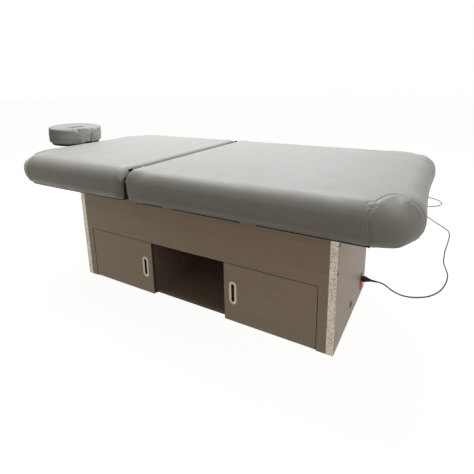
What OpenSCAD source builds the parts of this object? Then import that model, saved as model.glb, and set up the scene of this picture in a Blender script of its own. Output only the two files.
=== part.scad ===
/* [Cabinet] */
// Length of the cabinet over its end panels
cabinet_length = 1440; // [1240:10:1640]
// Depth of the cabinet from the door faces to the back
cabinet_depth = 606; // [540:6:700]
// Height of the cabinet from the floor to its top rails
cabinet_height = 559; // [540:1:640]
// Thickness of the two end panels
end_panel_t = 30; // [22:1:36]
// Thickness of the apron, doors, partitions, floors and rails
board_t = 18; // [16:1:20]
// Thickness of the back panel
back_t = 12; // [9:1:18]
// Thickness of the pale band on the front edge of an end panel
edge_band_t = 1; // [0.6:0.2:2]
// Width of the two front stiles
stile_w = 40; // [34:1:60]
// Clear width of the open compartment
compartment_w = 432; // [360:4:500]
// Height of the floor boards' undersides above the floor
floor_board_z = 8; // [6:1:40]
// How far the open compartment's floor sits back from the front
shelf_set_back = 20; // [18:1:40]
// How far the cupboard floors sit back, which leaves the doors room to swing
cupboard_set_back = 34; // [32:1:60]

/* [Doors and pulls] */
// Height of the top edge of the doors
door_top = 288; // [260:1:300]
// Gap under the doors
door_floor_gap = 5; // [4.6:0.2:9]
// Gap round the doors
door_gap = 3; // [2.6:0.2:5]
// Rounding of the hinge side edges of a door
door_edge_r = 3; // [2:0.5:4]
// Distance from a door's hinge edge to its pivot
door_pivot_in = 10; // [9:0.5:16]
// Radius of a door's pivot pins
door_pin_r = 3; // [2:0.5:4]
// Width of a recessed pull's face
pull_w = 38; // [30:1:50]
// Height of a recessed pull's face
pull_h = 112; // [90:2:150]
// Width of the finger slot in a pull
pull_slot_w = 16; // [12:1:24]
// Height of the finger slot in a pull
pull_slot_h = 88; // [70:2:110]
// Depth of the finger slot
pull_depth = 13; // [8:1:14]
// Distance from a door's free edge to the middle of its pull
pull_in = 46; // [30:1:90]
// Height of the middle of the pulls
pull_z = 150; // [110:5:190]

/* [Mattress] */
// Width of the mattress
mattress_width = 1020; // [900:10:1100]
// Full thickness of the mattress at its crown
mattress_t = 162; // [140:2:200]
// How far the mattress stands past the cabinet at the head
head_overhang = 305; // [280:5:360]
// How far the mattress stands past the cabinet at the foot
foot_overhang = 276; // [200:4:330]
// Length of the fixed section of the mattress
body_length = 1133; // [1050:1:1200]
// Gap between the two sections at the top
split_gap = 24; // [22:1:30]
// Extra gap at the bottom, where the fixed section's end leans back
end_lean = 12; // [0:1:20]
// Rise of the crown in the middle of a section
crown = 6; // [0:1:12]
// Roll of the top edges
top_roll = 65; // [45:1:75]
// Roll of the bottom edges
bottom_roll = 65; // [45:1:70]
// Plan radius of the foot corners
foot_corner = 162; // [110:2:200]
// Plan radius of the head corners
head_corner = 213; // [120:3:240]
// Roll of the edges at the split
split_roll = 16; // [8:1:20]
// How far the ends draw in between their corners
end_draw = 10; // [0:1:20]
// Gap between the cabinet and the mattress, filled by the pads
rest_gap = 4; // [3:0.5:8]
// How far the deck boards stay in from the mattress edges
deck_in = 72; // [70:1:90]

/* [Backrest lift] */
// Largest lift angle of the backrest
lift_angle = 55; // [30:1:55]
// Depth of the backrest hinge below the rolled top
hinge_drop = 14; // [12:1:30]
// Distance of each hinge's middle from the side of the decks
hinge_in = 23; // [22:1:90]
// Distance along the bed from the backrest hinge to the actuator's upper pin
lift_pin_reach = 316; // [290:1:330]
// Drop of the actuator's upper pin below the backrest
lift_pin_drop = 40.5; // [38:0.5:60]
// Least height of the actuator's lower pin above the floor of its bay
base_pin_rise = 32; // [31:1:60]
// Radius of both actuator pins
link_pin_r = 6; // [5:0.5:7]
// Radius of the actuator's outer tube
tube_r = 17; // [15:1:20]
// Radius of the actuator's rod
rod_r = 10; // [8:0.5:11]

/* [Face cradle] */
// Length of the cradle cushion, along the bed
cradle_length = 260; // [240:5:290]
// Width of the cradle cushion, across the bed
cradle_width = 348; // [300:4:360]
// Thickness of the cradle cushion
cradle_t = 101; // [81:2:121]
// Width of the cushion's ring
cradle_ring_w = 88; // [70:2:92]
// Gap at the chin
chin_gap = 20; // [20:2:40]
// Tilt of the cradle as it is parked, head side up
cradle_tilt = 6; // [0:1:6]
// Radius of the two rods that plug into the bed
cradle_rod_r = 8; // [6:0.5:9]
// Distance of each rod from the centreline
cradle_rod_y = 80; // [60:5:110]

/* [Mains] */
// Distance of the mains inlet behind the cabinet's middle
inlet_y = 205; // [120:5:230]
// Height of the middle of the mains inlet
inlet_z = 92; // [80:1:120]
// Diameter of the mains cord
cord_d = 7; // [6:0.5:9]

/* [Hidden] */

// Overrun of cuts, the seat of a soft piece, and the play of pins, slides and loose parts
cut = 1;
seat = 0.3;
pin_play = 0.05;
slide_play = 0.4;
fine = 48;

// Colours
oak = [0.56, 0.50, 0.43];
oak_dark = [0.40, 0.35, 0.29];
pale_edge = [0.77, 0.72, 0.64];
leatherette = [0.76, 0.76, 0.75];
plywood = [0.75, 0.62, 0.44];
steel = [0.62, 0.63, 0.65];
black_steel = [0.10, 0.10, 0.11];
black_plastic = [0.06, 0.06, 0.06];
satin_nickel = [0.78, 0.77, 0.74];
red_lens = [0.80, 0.08, 0.06];

// Cabinet, measured from its own middle
half_l = cabinet_length / 2;
half_d = cabinet_depth / 2;
inner_x = half_l - end_panel_t;
face_y = board_t - half_d;
rear_y = half_d - back_t;
apron_z = door_top + door_gap;
bay_z = apron_z + board_t;
part_x = compartment_w / 2;
part_out_x = part_x + board_t;
door_back_gap = 2;
rail_w = 40;
rail_z = cabinet_height - board_t;
cross_rail_w = 44;
second_rail_share = 0.5;
pad_x_share = 0.4;

// Doors
door_x0 = part_x;
door_x1 = inner_x - stile_w - door_gap;
door_w = door_x1 - door_x0;
door_h = door_top - door_floor_gap;
pivot_x = door_x1 - door_pivot_in;
pivot_y = (face_y - half_d) / 2;
pivot_pin_up = 12;
pivot_pin_in = 24;
pull_lip_t = 1.5;
pull_wall = 4;
pull_back = 2;
bracket_t = 3;
bracket_gap = 1;
bracket_rise = 32;
catch_size = [16, 34, 12];
magnet_size = [14, 4, 10];

// Mattress
mattress_z = cabinet_height + rest_gap;
roll_top_z = mattress_z + mattress_t - crown;
foot_x = half_l + foot_overhang;
head_x = half_l + head_overhang;
body_x = foot_x - body_length;
back_end_x = body_x - split_gap;
back_length = head_x + back_end_x;
deck_t = board_t;
deck_end_in = 26;
deck_free_in = deck_in + end_draw;
deck_play = 1.5;
pad_r = 15;
pad_t = rest_gap - seat;
spacer_size = [46, 60, rest_gap];
spacer_shares = [0, 0.57, 0.675, 1];
corner_steps = 8;
split_steps = 3;
side_steps = 5;
end_steps = 5;
roll_steps = 5;
split_corner = 12;
draw_reach_share = 0.3;
crown_shares = [0.8, 0.5, 0.2];

// Backrest hinge and actuator. Both pins lie on one circle round the hinge, so the
// actuator turns by exactly half of the backrest's angle.
hinge_x = (back_end_x + body_x) / 2;
hinge_y = mattress_width / 2 - deck_in - hinge_in;
hinge_z = roll_top_z - hinge_drop;
hinge_r = 8;
hinge_pin_r = 4;
hinge_knuckle = 13;
hinge_leaf_t = 3;
hinge_leaf_w = 42;
hinge_foot = 80;
hinge_pin_over = 6;
lift_foot = [110, 60, 4];
lift_room = 5;
lift_arm = min(lift_pin_reach, hinge_x + inner_x - lift_foot[0] / 2 - lift_room);
lift_fall = hinge_z - mattress_z + lift_pin_drop;
link_radius = norm([lift_arm, lift_fall]);
lift_pin_angle = atan2(lift_arm, lift_fall);
least_base_angle = 5;
base_pin_angle = acos(min(cos(least_base_angle), (hinge_z - bay_z - base_pin_rise) / link_radius));
rest_angle = lift_pin_angle + base_pin_angle;
lift_x = hinge_x - link_radius * sin(lift_pin_angle);
lift_z = hinge_z - link_radius * cos(lift_pin_angle);
base_x = hinge_x + link_radius * sin(base_pin_angle);
base_z = hinge_z - link_radius * cos(base_pin_angle);
rest_reach = 2 * link_radius * sin(rest_angle / 2);
full_reach = 2 * link_radius * sin((rest_angle + lift_angle) / 2);
stroke = full_reach - rest_reach;
mid_reach = 2 * link_radius * sin((rest_angle + lift_angle / 2) / 2);
slot_run = mid_reach - (rest_reach + full_reach) / 2 + 2 * slide_play + cut;
actuator_slope = (lift_pin_angle - base_pin_angle) / 2;
ear_r = 14;
ear_t = 6;
clevis_w = 20;
tongue_w = 14;
tongue_h = 28;
tongue_back = 30;
housing_s = [20, 78];
housing_x = 26;
housing_y = 30;
motor_y = 54;
motor_r = 24;
motor_s = 205;
motor_dome = 8;
motor_wall = 5;
tube_nose = 34;
tube_wall = 3;
collar_r = 3;
collar_l = 12;
bracket_foot = [84, 76, 4];
cheek_r = 17;
cheek_t = 5;
pin_head_r = 2.5;
pin_head_t = 3;

// Control box and its lead
box_size = [140, 84, 46];
box_wall = 6;
box_x = 250;
box_entry = 20;
box_lid_t = 5;
lead_r = 3.5;
lead_bend = 20;
lead_drop_x = 54;

// Mains inlet, rocker and connector, measured from the middle of the inlet
inlet_flange = [34, 84, 3];
inlet_body = [27, 70, 34];
inlet_drop = 17;
recess = [25, 17.4, 17];
nose = [24, 16.4, 15];
blade = [2, 4, 14];
blade_side = 7;
blade_mid_up = 2;
blade_low = 2;
blade_hole_play = 0.4;
ear_hole_r = 1.8;
rocker_drop = 34;
rocker_size = [15, 25, 6];
rocker_pocket = [16, 29, 12];
rocker_angle = 7;
rocker_inner_t = 2;
connector_neck = [30, 23, 24];
connector_taper = 22;
strain_l = 26;
strain_r = 6;
plug_size = [44, 34, 24];
plug_pin_r = 2.4;
plug_pin_l = 19;
plug_pin_gap = 19;
plug_neck_l = 22;

// Cable port and screws
port_y = -17;
port_z = 70;
port_r = 15;
port_flange_r = 18;
port_flange_t = 2;
port_wall = 2.5;
screw_head_r = 4;
screw_head_t = 3;
screw_shank_r = 2.5;
screw_l = 52;
screw_z_shares = [0.25, 0.68];

// Cradle, measured from its tilt pin
tilt_out = 40;
tilt_pin_r = 4;
tilt_pin_z = 138;
platform_up = 17;
platform_t = 12;
platform_in = 16;
platform_front = 45;
cradle_back = 53;
cradle_stations = 36;
cradle_points = 12;
cradle_square_share = 0.45;
cradle_flat_share = 0.9;
cradle_end_shares = [0.62, 0.88];
upright_y = 44;
upright_w = 20;
upright_t = 10;
lug_t = 6;
lug_y = 56;
lug_w = 24;
crossbar_r = 10;
crossbar_over = 18;
socket_r = 11;
socket_l = 200;
saddle_l = 34;
saddle_w = 30;
rod_in = 150;
socket_rise = 1;
cam_hub_r = 11;
cam_arm = [58, 9, 12];
cam_gap = 1;

// The row's origin is under the middle of the bed and its cradle, on the floor
cradle_z = platform_up + platform_t + cradle_flat_share * cradle_t / 2;
cradle_reach = (cradle_back + cradle_length / 2) * cos(cradle_tilt)
    - cradle_z * sin(cradle_tilt);
cab_x = (head_overhang + tilt_out + cradle_reach - foot_overhang) / 2;
tilt_x = -head_x - tilt_out;
socket_z = mattress_z - saddle_w / 2 + socket_rise;
tilt_z = socket_z + tilt_pin_z;

// Route of the mains cord after it has left the strain relief, from the cabinet's middle:
// down to the floor, out past the foot, round behind the bed and back to the plug
cord_lie = cord_d / 2 + seat;
cord_route = [
    [832, 223, 72], [866, 246, 38], [904, 270, 12], [946, 290, 1],
    [990, 312, 0], [1035, 351, 0], [1077, 427, 0], [1103, 530, 0], [1110, 631, 0],
    [1098, 716, 0], [1088, 796, 0], [1090, 890, 0], [1095, 986, 0], [1104, 1080, 0],
    [1112, 1173, 0], [1118, 1270, 0], [1108, 1354, 0], [1075, 1424, 0], [1026, 1500, 0],
    [975, 1590, 0], [930, 1680, 0], [905, 1770, 0], [915, 1850, 0], [962, 1908, 0],
    [1020, 1950, 0], [1052, 2020, 0], [1046, 2100, 0], [1000, 2166, 0], [930, 2202, 0],
    [860, 2210, 3]
];
plug_place = [790, 2210];
cord_steps = 2;
cord_sides = 8;

// Moves what is modelled from the cabinet's middle to the row's origin
module from_cabinet() {
    translate([cab_x, 0, 0]) children();
}

// A board between two opposite corners
module board(low, high) {
    translate(low) cube(high - low);
}

// A flat bar with round ends, standing along Z, its thickness along Y from zero
module stadium(w, h, t) {
    run = (h - w) / 2;
    translate([0, t, 0]) rotate([90, 0, 0]) {
        for (s = [-1, 1]) translate([0, s * run, 0]) cylinder(d = w, h = t, $fn = fine);
        translate([-w / 2, -run, 0]) cube([w, 2 * run, t]);
    }
}

// A box with rounded upright edges, centred in plan
module round_box(size, r) {
    linear_extrude(size[2]) round_rect(size[0], size[1], r);
}

module round_rect(w, h, r) {
    square([w - 2 * r, h], center = true);
    square([w, h - 2 * r], center = true);
    for (x = [-1, 1], y = [-1, 1]) translate([x * (w / 2 - r), y * (h / 2 - r)])
        circle(r, $fn = fine);
}

// A pin along Y, centred on its middle
module cross_pin(r, l) {
    rotate([90, 0, 0]) cylinder(r = r, h = l, center = true, $fn = fine);
}

// Corner points of a rounded rectangle, anticlockwise
function arc_points(cx, cy, r, a, steps) =
    [for (i = [0:steps]) [cx + r * cos(a + 90 * i / steps), cy + r * sin(a + 90 * i / steps)]];

function between(a, b, steps) = [for (i = [1:steps]) a + (b - a) * i / (steps + 1)];

// Outline of a mattress section: the split end at x0 and the free end at x1
function section_outline(x0, x1, hy, r0, r1) =
    let (a = arc_points(x1 - r1, hy - r1, r1, 0, corner_steps),
         b = arc_points(x0 + r0, hy - r0, r0, 90, split_steps),
         c = arc_points(x0 + r0, r0 - hy, r0, 180, split_steps),
         d = arc_points(x1 - r1, r1 - hy, r1, 270, corner_steps))
    concat(a, between(a[corner_steps], b[0], side_steps),
           b, between(b[split_steps], c[0], end_steps),
           c, between(c[split_steps], d[0], side_steps),
           d, between(d[corner_steps], a[0], end_steps));

// How far a roll of radius r draws the surface in at a depth below its crest
function roll_in(depth, r) = depth >= r ? 0 : r - sqrt(max(0, r * r - pow(r - depth, 2)));

// One level of a section: every outline point at height z, drawn in by the rolls
function section_level(l, corner, lean, z) =
    let (up = roll_top_z - z,
         down = z - mattress_z,
         side = max(roll_in(up, top_roll), roll_in(down, bottom_roll)),
         end = max(roll_in(up, split_roll), roll_in(down, split_roll)),
         x0 = end + lean * up / (roll_top_z - mattress_z),
         x1 = l - side,
         hy = mattress_width / 2 - side,
         r1 = max(corner - side, split_corner),
         flat_y = mattress_width / 2 - corner,
         reach = l * draw_reach_share)
    [for (p = section_outline(x0, x1, hy, split_corner, r1))
        let (out = max(0, (p[0] - x1 + reach) / reach),
             mid = max(0, 1 - pow(p[1] / flat_y, 2)))
        [p[0] - end_draw * out * out * mid, p[1], z]];

// The crowned top: levels that shrink towards the middle of the section
function crown_level(ring, mid, share) =
    [for (p = ring) [mid[0] + (p[0] - mid[0]) * share, p[1] * share,
                     roll_top_z + crown * (1 - share * share)]];

function deck_outline(l, corner, lean, grow) =
    section_outline(deck_end_in + lean - grow, l - deck_free_in + grow,
                    mattress_width / 2 - deck_in + grow,
                    split_corner, max(corner - deck_in, split_corner) + grow);

function lifted(outline, z) = [for (p = outline) [p[0], p[1], z]];

function flat_list(lists) = [for (l = lists, v = l) v];

// Faces between n rings of m points, with a fan over each end
function loft_faces(n, m) =
    concat(flat_list([for (k = [0:n - 2]) flat_list([for (i = [0:m - 1])
                let (j = (i + 1) % m, a = k * m, b = a + m)
                [[a + i, b + i, b + j], [a + i, b + j, a + j]]])]),
           [for (i = [0:m - 1]) [i, (i + 1) % m, n * m]],
           [for (i = [0:m - 1]) [(n - 1) * m + (i + 1) % m, (n - 1) * m + i, n * m + 1]]);

function middle(ring) = [for (k = [0:2]) sum([for (p = ring) p[k]]) / len(ring)];

function sum(v, i = 0) = i == len(v) ? 0 : v[i] + sum(v, i + 1);

// A closed skin over rings that all have the same count of points
module loft(rings, low, high) {
    polyhedron(concat(flat_list(rings), [low, high]), loft_faces(len(rings), len(rings[0])));
}

// A mattress section: a pocket for its deck board, rolled edges and a crowned top
module section(l, corner, lean) {
    mouth = deck_outline(l, corner, lean, deck_play);
    roof_z = mattress_z + deck_t + seat;
    low = [for (i = [0:roll_steps]) mattress_z + bottom_roll * (1 - cos(90 * i / roll_steps))];
    high = [for (i = [0:roll_steps]) roll_top_z - top_roll * (1 - sin(90 * i / roll_steps))];
    skin = [for (z = concat(low, high)) section_level(l, corner, lean, z)];
    mid = [l / 2, 0];
    tops = [for (s = crown_shares) crown_level(skin[len(skin) - 1], mid, s)];
    loft(concat([lifted(mouth, roof_z), lifted(mouth, mattress_z)], skin, tops),
         [l / 2, 0, roof_z], [l / 2, 0, roll_top_z + crown]);
}

module deck(l, corner, lean) {
    translate([0, 0, mattress_z]) linear_extrude(deck_t)
        polygon(deck_outline(l, corner, lean, 0));
}

// Puts a section's own frame on the bed: the fixed one runs to the foot, the other to the head
module at_body() {
    from_cabinet() translate([body_x, 0, 0]) children();
}

module at_back() {
    from_cabinet() translate([back_end_x, 0, 0]) mirror([1, 0, 0]) children();
}

// Screws through an end panel into the ends of the apron and the back panel
module end_screws(side, r_shank, r_head) {
    for (share = screw_z_shares, y = [pivot_y, (rear_y + half_d) / 2])
        translate([side * half_l, y, apron_z + share * (cabinet_height - apron_z)])
            rotate([0, -90 * side, 0]) {
                cylinder(r = r_head, h = screw_head_t, $fn = fine);
                cylinder(r = r_shank, h = screw_l, $fn = fine);
            }
}

module head_end_panel() {
    color(oak) from_cabinet() difference() {
        board([-half_l, edge_band_t - half_d, 0], [-inner_x, half_d, cabinet_height]);
        end_screws(-1, screw_shank_r, screw_head_r);
    }
}

// The foot panel carries the mains inlet and the cable port
module foot_end_panel() {
    color(oak) from_cabinet() difference() {
        board([inner_x, edge_band_t - half_d, 0], [half_l, half_d, cabinet_height]);
        end_screws(1, screw_shank_r, screw_head_r);
        translate([inner_x - cut, port_y, port_z]) rotate([0, 90, 0])
            cylinder(r = port_r, h = end_panel_t + 2 * cut, $fn = fine);
        translate([(inner_x + half_l) / 2, inlet_y, inlet_z - inlet_drop])
            cube([end_panel_t + 2 * cut, inlet_body[0] + 2 * slide_play,
                  inlet_body[1] + 2 * slide_play], center = true);
    }
}

module front_edge_bands() {
    color(pale_edge) from_cabinet() for (s = [-1, 1])
        translate([s * (inner_x + half_l) / 2 - end_panel_t / 2, -half_d, 0])
            cube([end_panel_t, edge_band_t, cabinet_height]);
}

module front_apron() {
    color(oak) from_cabinet() difference() {
        board([-inner_x, -half_d, apron_z], [inner_x, face_y, cabinet_height]);
        for (s = [-1, 1]) {
            end_screws(s, screw_shank_r, screw_shank_r);
            translate([s * pivot_x, pivot_y, apron_z - cut])
                cylinder(r = door_pin_r + pin_play, h = pivot_pin_up + 2 * cut, $fn = fine);
        }
    }
}

module front_stiles() {
    color(oak) from_cabinet() for (s = [-1, 1])
        translate([s * (inner_x - stile_w / 2) - stile_w / 2, -half_d, 0])
            cube([stile_w, board_t, apron_z]);
}

module back_panel() {
    color(oak) from_cabinet() difference() {
        board([-inner_x, rear_y, 0], [inner_x, half_d, cabinet_height]);
        for (s = [-1, 1]) end_screws(s, screw_shank_r, screw_shank_r);
    }
}

// The floor of the mechanism bay, with a hole for the mains lead
module bay_floor() {
    color(oak_dark) from_cabinet() difference() {
        board([-inner_x, face_y, apron_z], [inner_x, rear_y, bay_z]);
        translate([inner_x - lead_drop_x, inlet_y, apron_z - cut])
            cylinder(r = lead_r + door_gap, h = board_t + 2 * cut, $fn = fine);
    }
}

module partition(side) {
    color(oak_dark) from_cabinet()
        translate([side * (part_x + board_t / 2) - board_t / 2, face_y + door_back_gap, 0])
            cube([board_t, rear_y - face_y - door_back_gap, apron_z]);
}

module head_partition() {
    partition(-1);
}

module foot_partition() {
    partition(1);
}

module shelf_board() {
    color(oak_dark) from_cabinet() board([-part_x, shelf_set_back - half_d, floor_board_z],
                                         [part_x, rear_y, floor_board_z + board_t]);
}

module head_floor_board() {
    color(oak_dark) from_cabinet() board([-inner_x, cupboard_set_back - half_d, floor_board_z],
                                         [-part_out_x, rear_y, floor_board_z + board_t]);
}

module foot_floor_board() {
    color(oak_dark) from_cabinet() board([part_out_x, cupboard_set_back - half_d, floor_board_z],
                                         [inner_x, rear_y, floor_board_z + board_t]);
}

module top_rails() {
    color(plywood) from_cabinet() {
        board([-inner_x, face_y, rail_z], [inner_x, face_y + rail_w, cabinet_height]);
        board([-inner_x, rear_y - rail_w, rail_z], [inner_x, rear_y, cabinet_height]);
    }
}

// Two rails across the bay, under the end and the middle of the fixed section
module cross_rails() {
    first = body_x + end_lean;
    color(plywood) from_cabinet()
        for (x = [first, first + (inner_x - first) * second_rail_share])
            board([x, face_y + rail_w, rail_z],
                  [x + cross_rail_w, rear_y - rail_w, cabinet_height]);
}

module fixed_deck() {
    color(plywood) at_body() deck(body_length, foot_corner, end_lean);
}

module body_cushion() {
    color(leatherette) at_body() section(body_length, foot_corner, end_lean);
}

// Rubber pads that the backrest comes down on
module rest_pads() {
    pad_x = (inner_x + half_l) / 2;
    rail_x = back_end_x - (inner_x + back_end_x) * pad_x_share;
    color(black_plastic) from_cabinet() {
        for (s = [-1, 1]) translate([-pad_x, s * half_d / 2, cabinet_height])
            cylinder(r = pad_r - cut, h = pad_t, $fn = fine);
        for (y = [edge_band_t - half_d, half_d - spacer_size[1] - edge_band_t])
            translate([rail_x, y, cabinet_height]) cube([spacer_size[0], spacer_size[1], pad_t]);
    }
}

// Packers between the top rails and the fixed deck
module deck_spacers() {
    run = inner_x - body_x - end_lean - spacer_size[0];
    color(black_plastic) from_cabinet() for (share = spacer_shares)
        for (y = [edge_band_t - half_d, half_d - spacer_size[1] - edge_band_t])
            translate([body_x + end_lean + share * run, y, cabinet_height]) cube(spacer_size);
}

// One knuckle of the backrest hinge
module knuckle() {
    cross_pin(hinge_r, hinge_knuckle);
}

module knuckle_bore(play) {
    cross_pin(hinge_pin_r + play, 2 * hinge_leaf_w);
}

// A tall hinge leaf: a plate down the gap and a foot under its deck, for the given side.
// The fixed leaf has the middle knuckle, and the moving one the outer two.
module hinge_leaf(side, places, play) {
    drop = hinge_z - mattress_z + hinge_leaf_t;
    pitch = hinge_knuckle + slide_play;
    tall = drop - hinge_r - slide_play;
    difference() {
        union() {
            for (p = places) translate([0, p * pitch, 0]) {
                knuckle();
                translate([side > 0 ? hinge_r - hinge_leaf_t : -hinge_r, -hinge_knuckle / 2,
                           -hinge_r - slide_play])
                    cube([hinge_leaf_t, hinge_knuckle, hinge_r + slide_play]);
            }
            translate([side > 0 ? hinge_r - hinge_leaf_t : -hinge_r, -hinge_leaf_w / 2, -drop])
                cube([hinge_leaf_t, hinge_leaf_w, tall]);
            translate([side > 0 ? hinge_r - hinge_leaf_t : -hinge_foot - hinge_r + hinge_leaf_t,
                       -hinge_leaf_w / 2, -drop])
                cube([hinge_foot, hinge_leaf_w, hinge_leaf_t]);
        }
        knuckle_bore(play);
    }
}

module at_hinges() {
    from_cabinet() for (s = [-1, 1]) translate([hinge_x, s * hinge_y, hinge_z]) children();
}

module fixed_hinge_leaves() {
    color(black_steel) at_hinges() hinge_leaf(1, [0], 0);
}

module backrest_hinge_leaves() {
    color(black_steel) at_hinges() hinge_leaf(-1, [-1, 1], pin_play);
}

module hinge_pins() {
    color(steel) at_hinges() cross_pin(hinge_pin_r, hinge_leaf_w + 2 * hinge_pin_over);
}

// The base bracket: two ears on a foot that is screwed to the bay floor
module actuator_base_bracket() {
    rise = base_z - bay_z;
    ear_y = clevis_w / 2 + slide_play;
    color(steel) from_cabinet() translate([base_x, 0, bay_z]) difference() {
        union() {
            translate([0, 0, bracket_foot[2] / 2]) cube(bracket_foot, center = true);
            for (s = [-1, 1]) translate([0, s * (ear_y + ear_t / 2), 0]) {
                translate([0, 0, rise]) cross_pin(ear_r, ear_t);
                translate([-ear_r, -ear_t / 2, 0]) cube([2 * ear_r, ear_t, rise]);
            }
        }
        translate([0, 0, rise]) cross_pin(link_pin_r, 2 * clevis_w + 4 * ear_t);
    }
}

// A headed pin across a pair of ears
module headed_pin(l) {
    cross_pin(link_pin_r, l);
    for (s = [-1, 1]) translate([0, s * (l + pin_head_t) / 2, 0])
        cross_pin(link_pin_r + pin_head_r, pin_head_t);
}

module actuator_base_pin() {
    color(steel) from_cabinet() translate([base_x, 0, base_z])
        headed_pin(clevis_w + 2 * slide_play + 2 * ear_t);
}

// Control box with a lid line, feet and a gland for the mains lead
module control_box() {
    lid_z = box_size[2] - box_lid_t;
    color(black_plastic) from_cabinet() translate([box_x, inlet_y - box_entry, bay_z]) {
        round_box([box_size[0], box_size[1], lid_z], box_wall);
        translate([0, 0, lid_z]) linear_extrude(box_lid_t)
            round_rect(box_size[0] + 2 * cut, box_size[1] + 2 * cut, box_wall);
        for (s = [-1, 1]) translate([s * box_size[0] / 2, 0, 0]) difference() {
            linear_extrude(bracket_t) round_rect(2 * box_wall + bracket_t * 4, box_size[1] / 3,
                                                 box_wall);
            translate([s * box_wall, 0, -cut])
                cylinder(r = screw_shank_r, h = bracket_t + 2 * cut, $fn = fine);
        }
    }
}

// Lead from the back of the inlet, up through the bay floor and along to the control box
module inner_mains_lead() {
    low_z = inlet_z - inlet_drop;
    high_z = bay_z + box_size[2] / 2;
    start_x = half_l - inlet_body[2];
    up_x = inner_x - lead_drop_x;
    end_x = box_x + box_size[0] / 2;
    color(black_plastic) from_cabinet() {
        translate([up_x + lead_bend, inlet_y, low_z]) rotate([0, 90, 0])
            cylinder(r = lead_r, h = start_x - up_x - lead_bend, $fn = fine);
        translate([up_x + lead_bend, inlet_y, low_z + lead_bend]) rotate([90, 0, 0])
            rotate([0, 0, 180]) rotate_extrude(angle = 90, $fn = fine)
                translate([lead_bend, 0]) circle(lead_r, $fn = fine);
        translate([up_x, inlet_y, low_z + lead_bend])
            cylinder(r = lead_r, h = high_z - low_z - 2 * lead_bend, $fn = fine);
        translate([up_x - lead_bend, inlet_y, high_z - lead_bend]) rotate([90, 0, 0])
            rotate_extrude(angle = 90, $fn = fine)
                translate([lead_bend, 0]) circle(lead_r, $fn = fine);
        translate([up_x - lead_bend, inlet_y, high_z]) rotate([0, -90, 0])
            cylinder(r = lead_r, h = up_x - lead_bend - end_x, $fn = fine);
    }
}

// Moves to the middle of the inlet on the outer face: +X out, Z up
module at_inlet() {
    from_cabinet() translate([half_l, inlet_y, inlet_z]) children();
}

// Box given as width across the bed, height, and depth along X from zero inwards
module inlet_block(size, out = 0) {
    translate([out - size[2], -size[0] / 2, -size[1] / 2]) cube([size[2], size[0], size[1]]);
}

// Inlet and switch in one moulding: a flange, a body in the panel, a recess and a pocket
module mains_inlet() {
    color(black_plastic) at_inlet() difference() {
        translate([0, 0, -inlet_drop]) {
            inlet_block(inlet_body);
            translate([inlet_flange[2], 0, 0]) rotate([0, -90, 0]) linear_extrude(inlet_flange[2])
                round_rect(inlet_flange[1], inlet_flange[0], bracket_t);
        }
        inlet_block([recess[0], recess[1], recess[2] + cut], inlet_flange[2] + cut);
        translate([0, 0, -rocker_drop])
            inlet_block([rocker_pocket[0], rocker_pocket[1], rocker_pocket[2] + cut],
                        inlet_flange[2] + cut);
    }
}

// Where the three blades stand: earth in the middle, above the other two
module at_blades() {
    for (p = [[0, blade_mid_up], [-blade_side, -blade_low], [blade_side, -blade_low]])
        translate([inlet_flange[2] - recess[2], p[0], p[1]]) children();
}

module inlet_blades() {
    color(steel) at_inlet() at_blades() translate([0, -blade[0] / 2, -blade[1] / 2])
        cube([blade[2], blade[0], blade[1]]);
}

// The rocker: two faces that meet in a shallow valley, parked with its top pressed in
module switch_rocker() {
    h = rocker_size[1] / 2;
    rise = h * tan(rocker_angle);
    color(red_lens) at_inlet() translate([inlet_flange[2], 0, -rocker_drop])
        rotate([0, -rocker_angle, 0]) rotate([90, 0, 0])
            translate([0, 0, -rocker_size[0] / 2]) linear_extrude(rocker_size[0])
                polygon([[rise, h], [0, 0], [rise, -h], [-rocker_inner_t, -h],
                         [-rocker_size[2], 0], [-rocker_inner_t, h]]);
}

// A plastic sleeve with a flange, in the cable port
module cable_grommet() {
    color(black_plastic) from_cabinet() translate([half_l + port_flange_t, port_y, port_z])
        rotate([0, -90, 0]) difference() {
            union() {
                cylinder(r = port_flange_r, h = port_flange_t, $fn = fine);
                cylinder(r = port_r, h = port_flange_t + end_panel_t, $fn = fine);
            }
            translate([0, 0, -cut])
                cylinder(r = port_r - port_wall, h = port_flange_t + end_panel_t + 2 * cut,
                         $fn = fine);
        }
}

module panel_screws() {
    color(black_steel) from_cabinet() for (s = [-1, 1])
        end_screws(s, screw_shank_r, screw_head_r);
}

// Steel angle that carries the lower pivot of a door, screwed to the back of the stile
module door_pivot_brackets() {
    arm = stile_w + door_gap + door_pivot_in + 2 * door_pin_r;
    color(steel) from_cabinet() for (s = [-1, 1]) scale_side(s) difference() {
        union() {
            translate([inner_x - arm, face_y, bracket_gap])
                cube([arm - cut, bracket_t, bracket_t]);
            translate([inner_x - stile_w + cut, face_y, bracket_gap])
                cube([stile_w - 2 * cut, bracket_t, bracket_rise]);
            translate([inner_x - arm, cut - half_d + cut, bracket_gap])
                cube([arm - stile_w - cut, board_t - 2 * cut, bracket_t]);
        }
        translate([pivot_x, pivot_y, 0]) cylinder(r = door_pin_r + pin_play,
                                                  h = bracket_gap + bracket_t + cut, $fn = fine);
    }
}

// Draws its children as they are at the foot, or mirrored at the head
module scale_side(s) {
    if (s > 0) children();
    else mirror([1, 0, 0]) children();
}

// Magnetic catches under the bay floor, beside the partitions
module door_catches() {
    color(black_plastic) from_cabinet() for (s = [-1, 1]) scale_side(s)
        translate([part_out_x, face_y + door_back_gap, apron_z - catch_size[2]]) cube(catch_size);
}

module backrest_deck() {
    color(plywood) at_back() deck(back_length, head_corner, 0);
}

module backrest_cushion() {
    color(leatherette) at_back() section(back_length, head_corner, 0);
}

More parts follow.
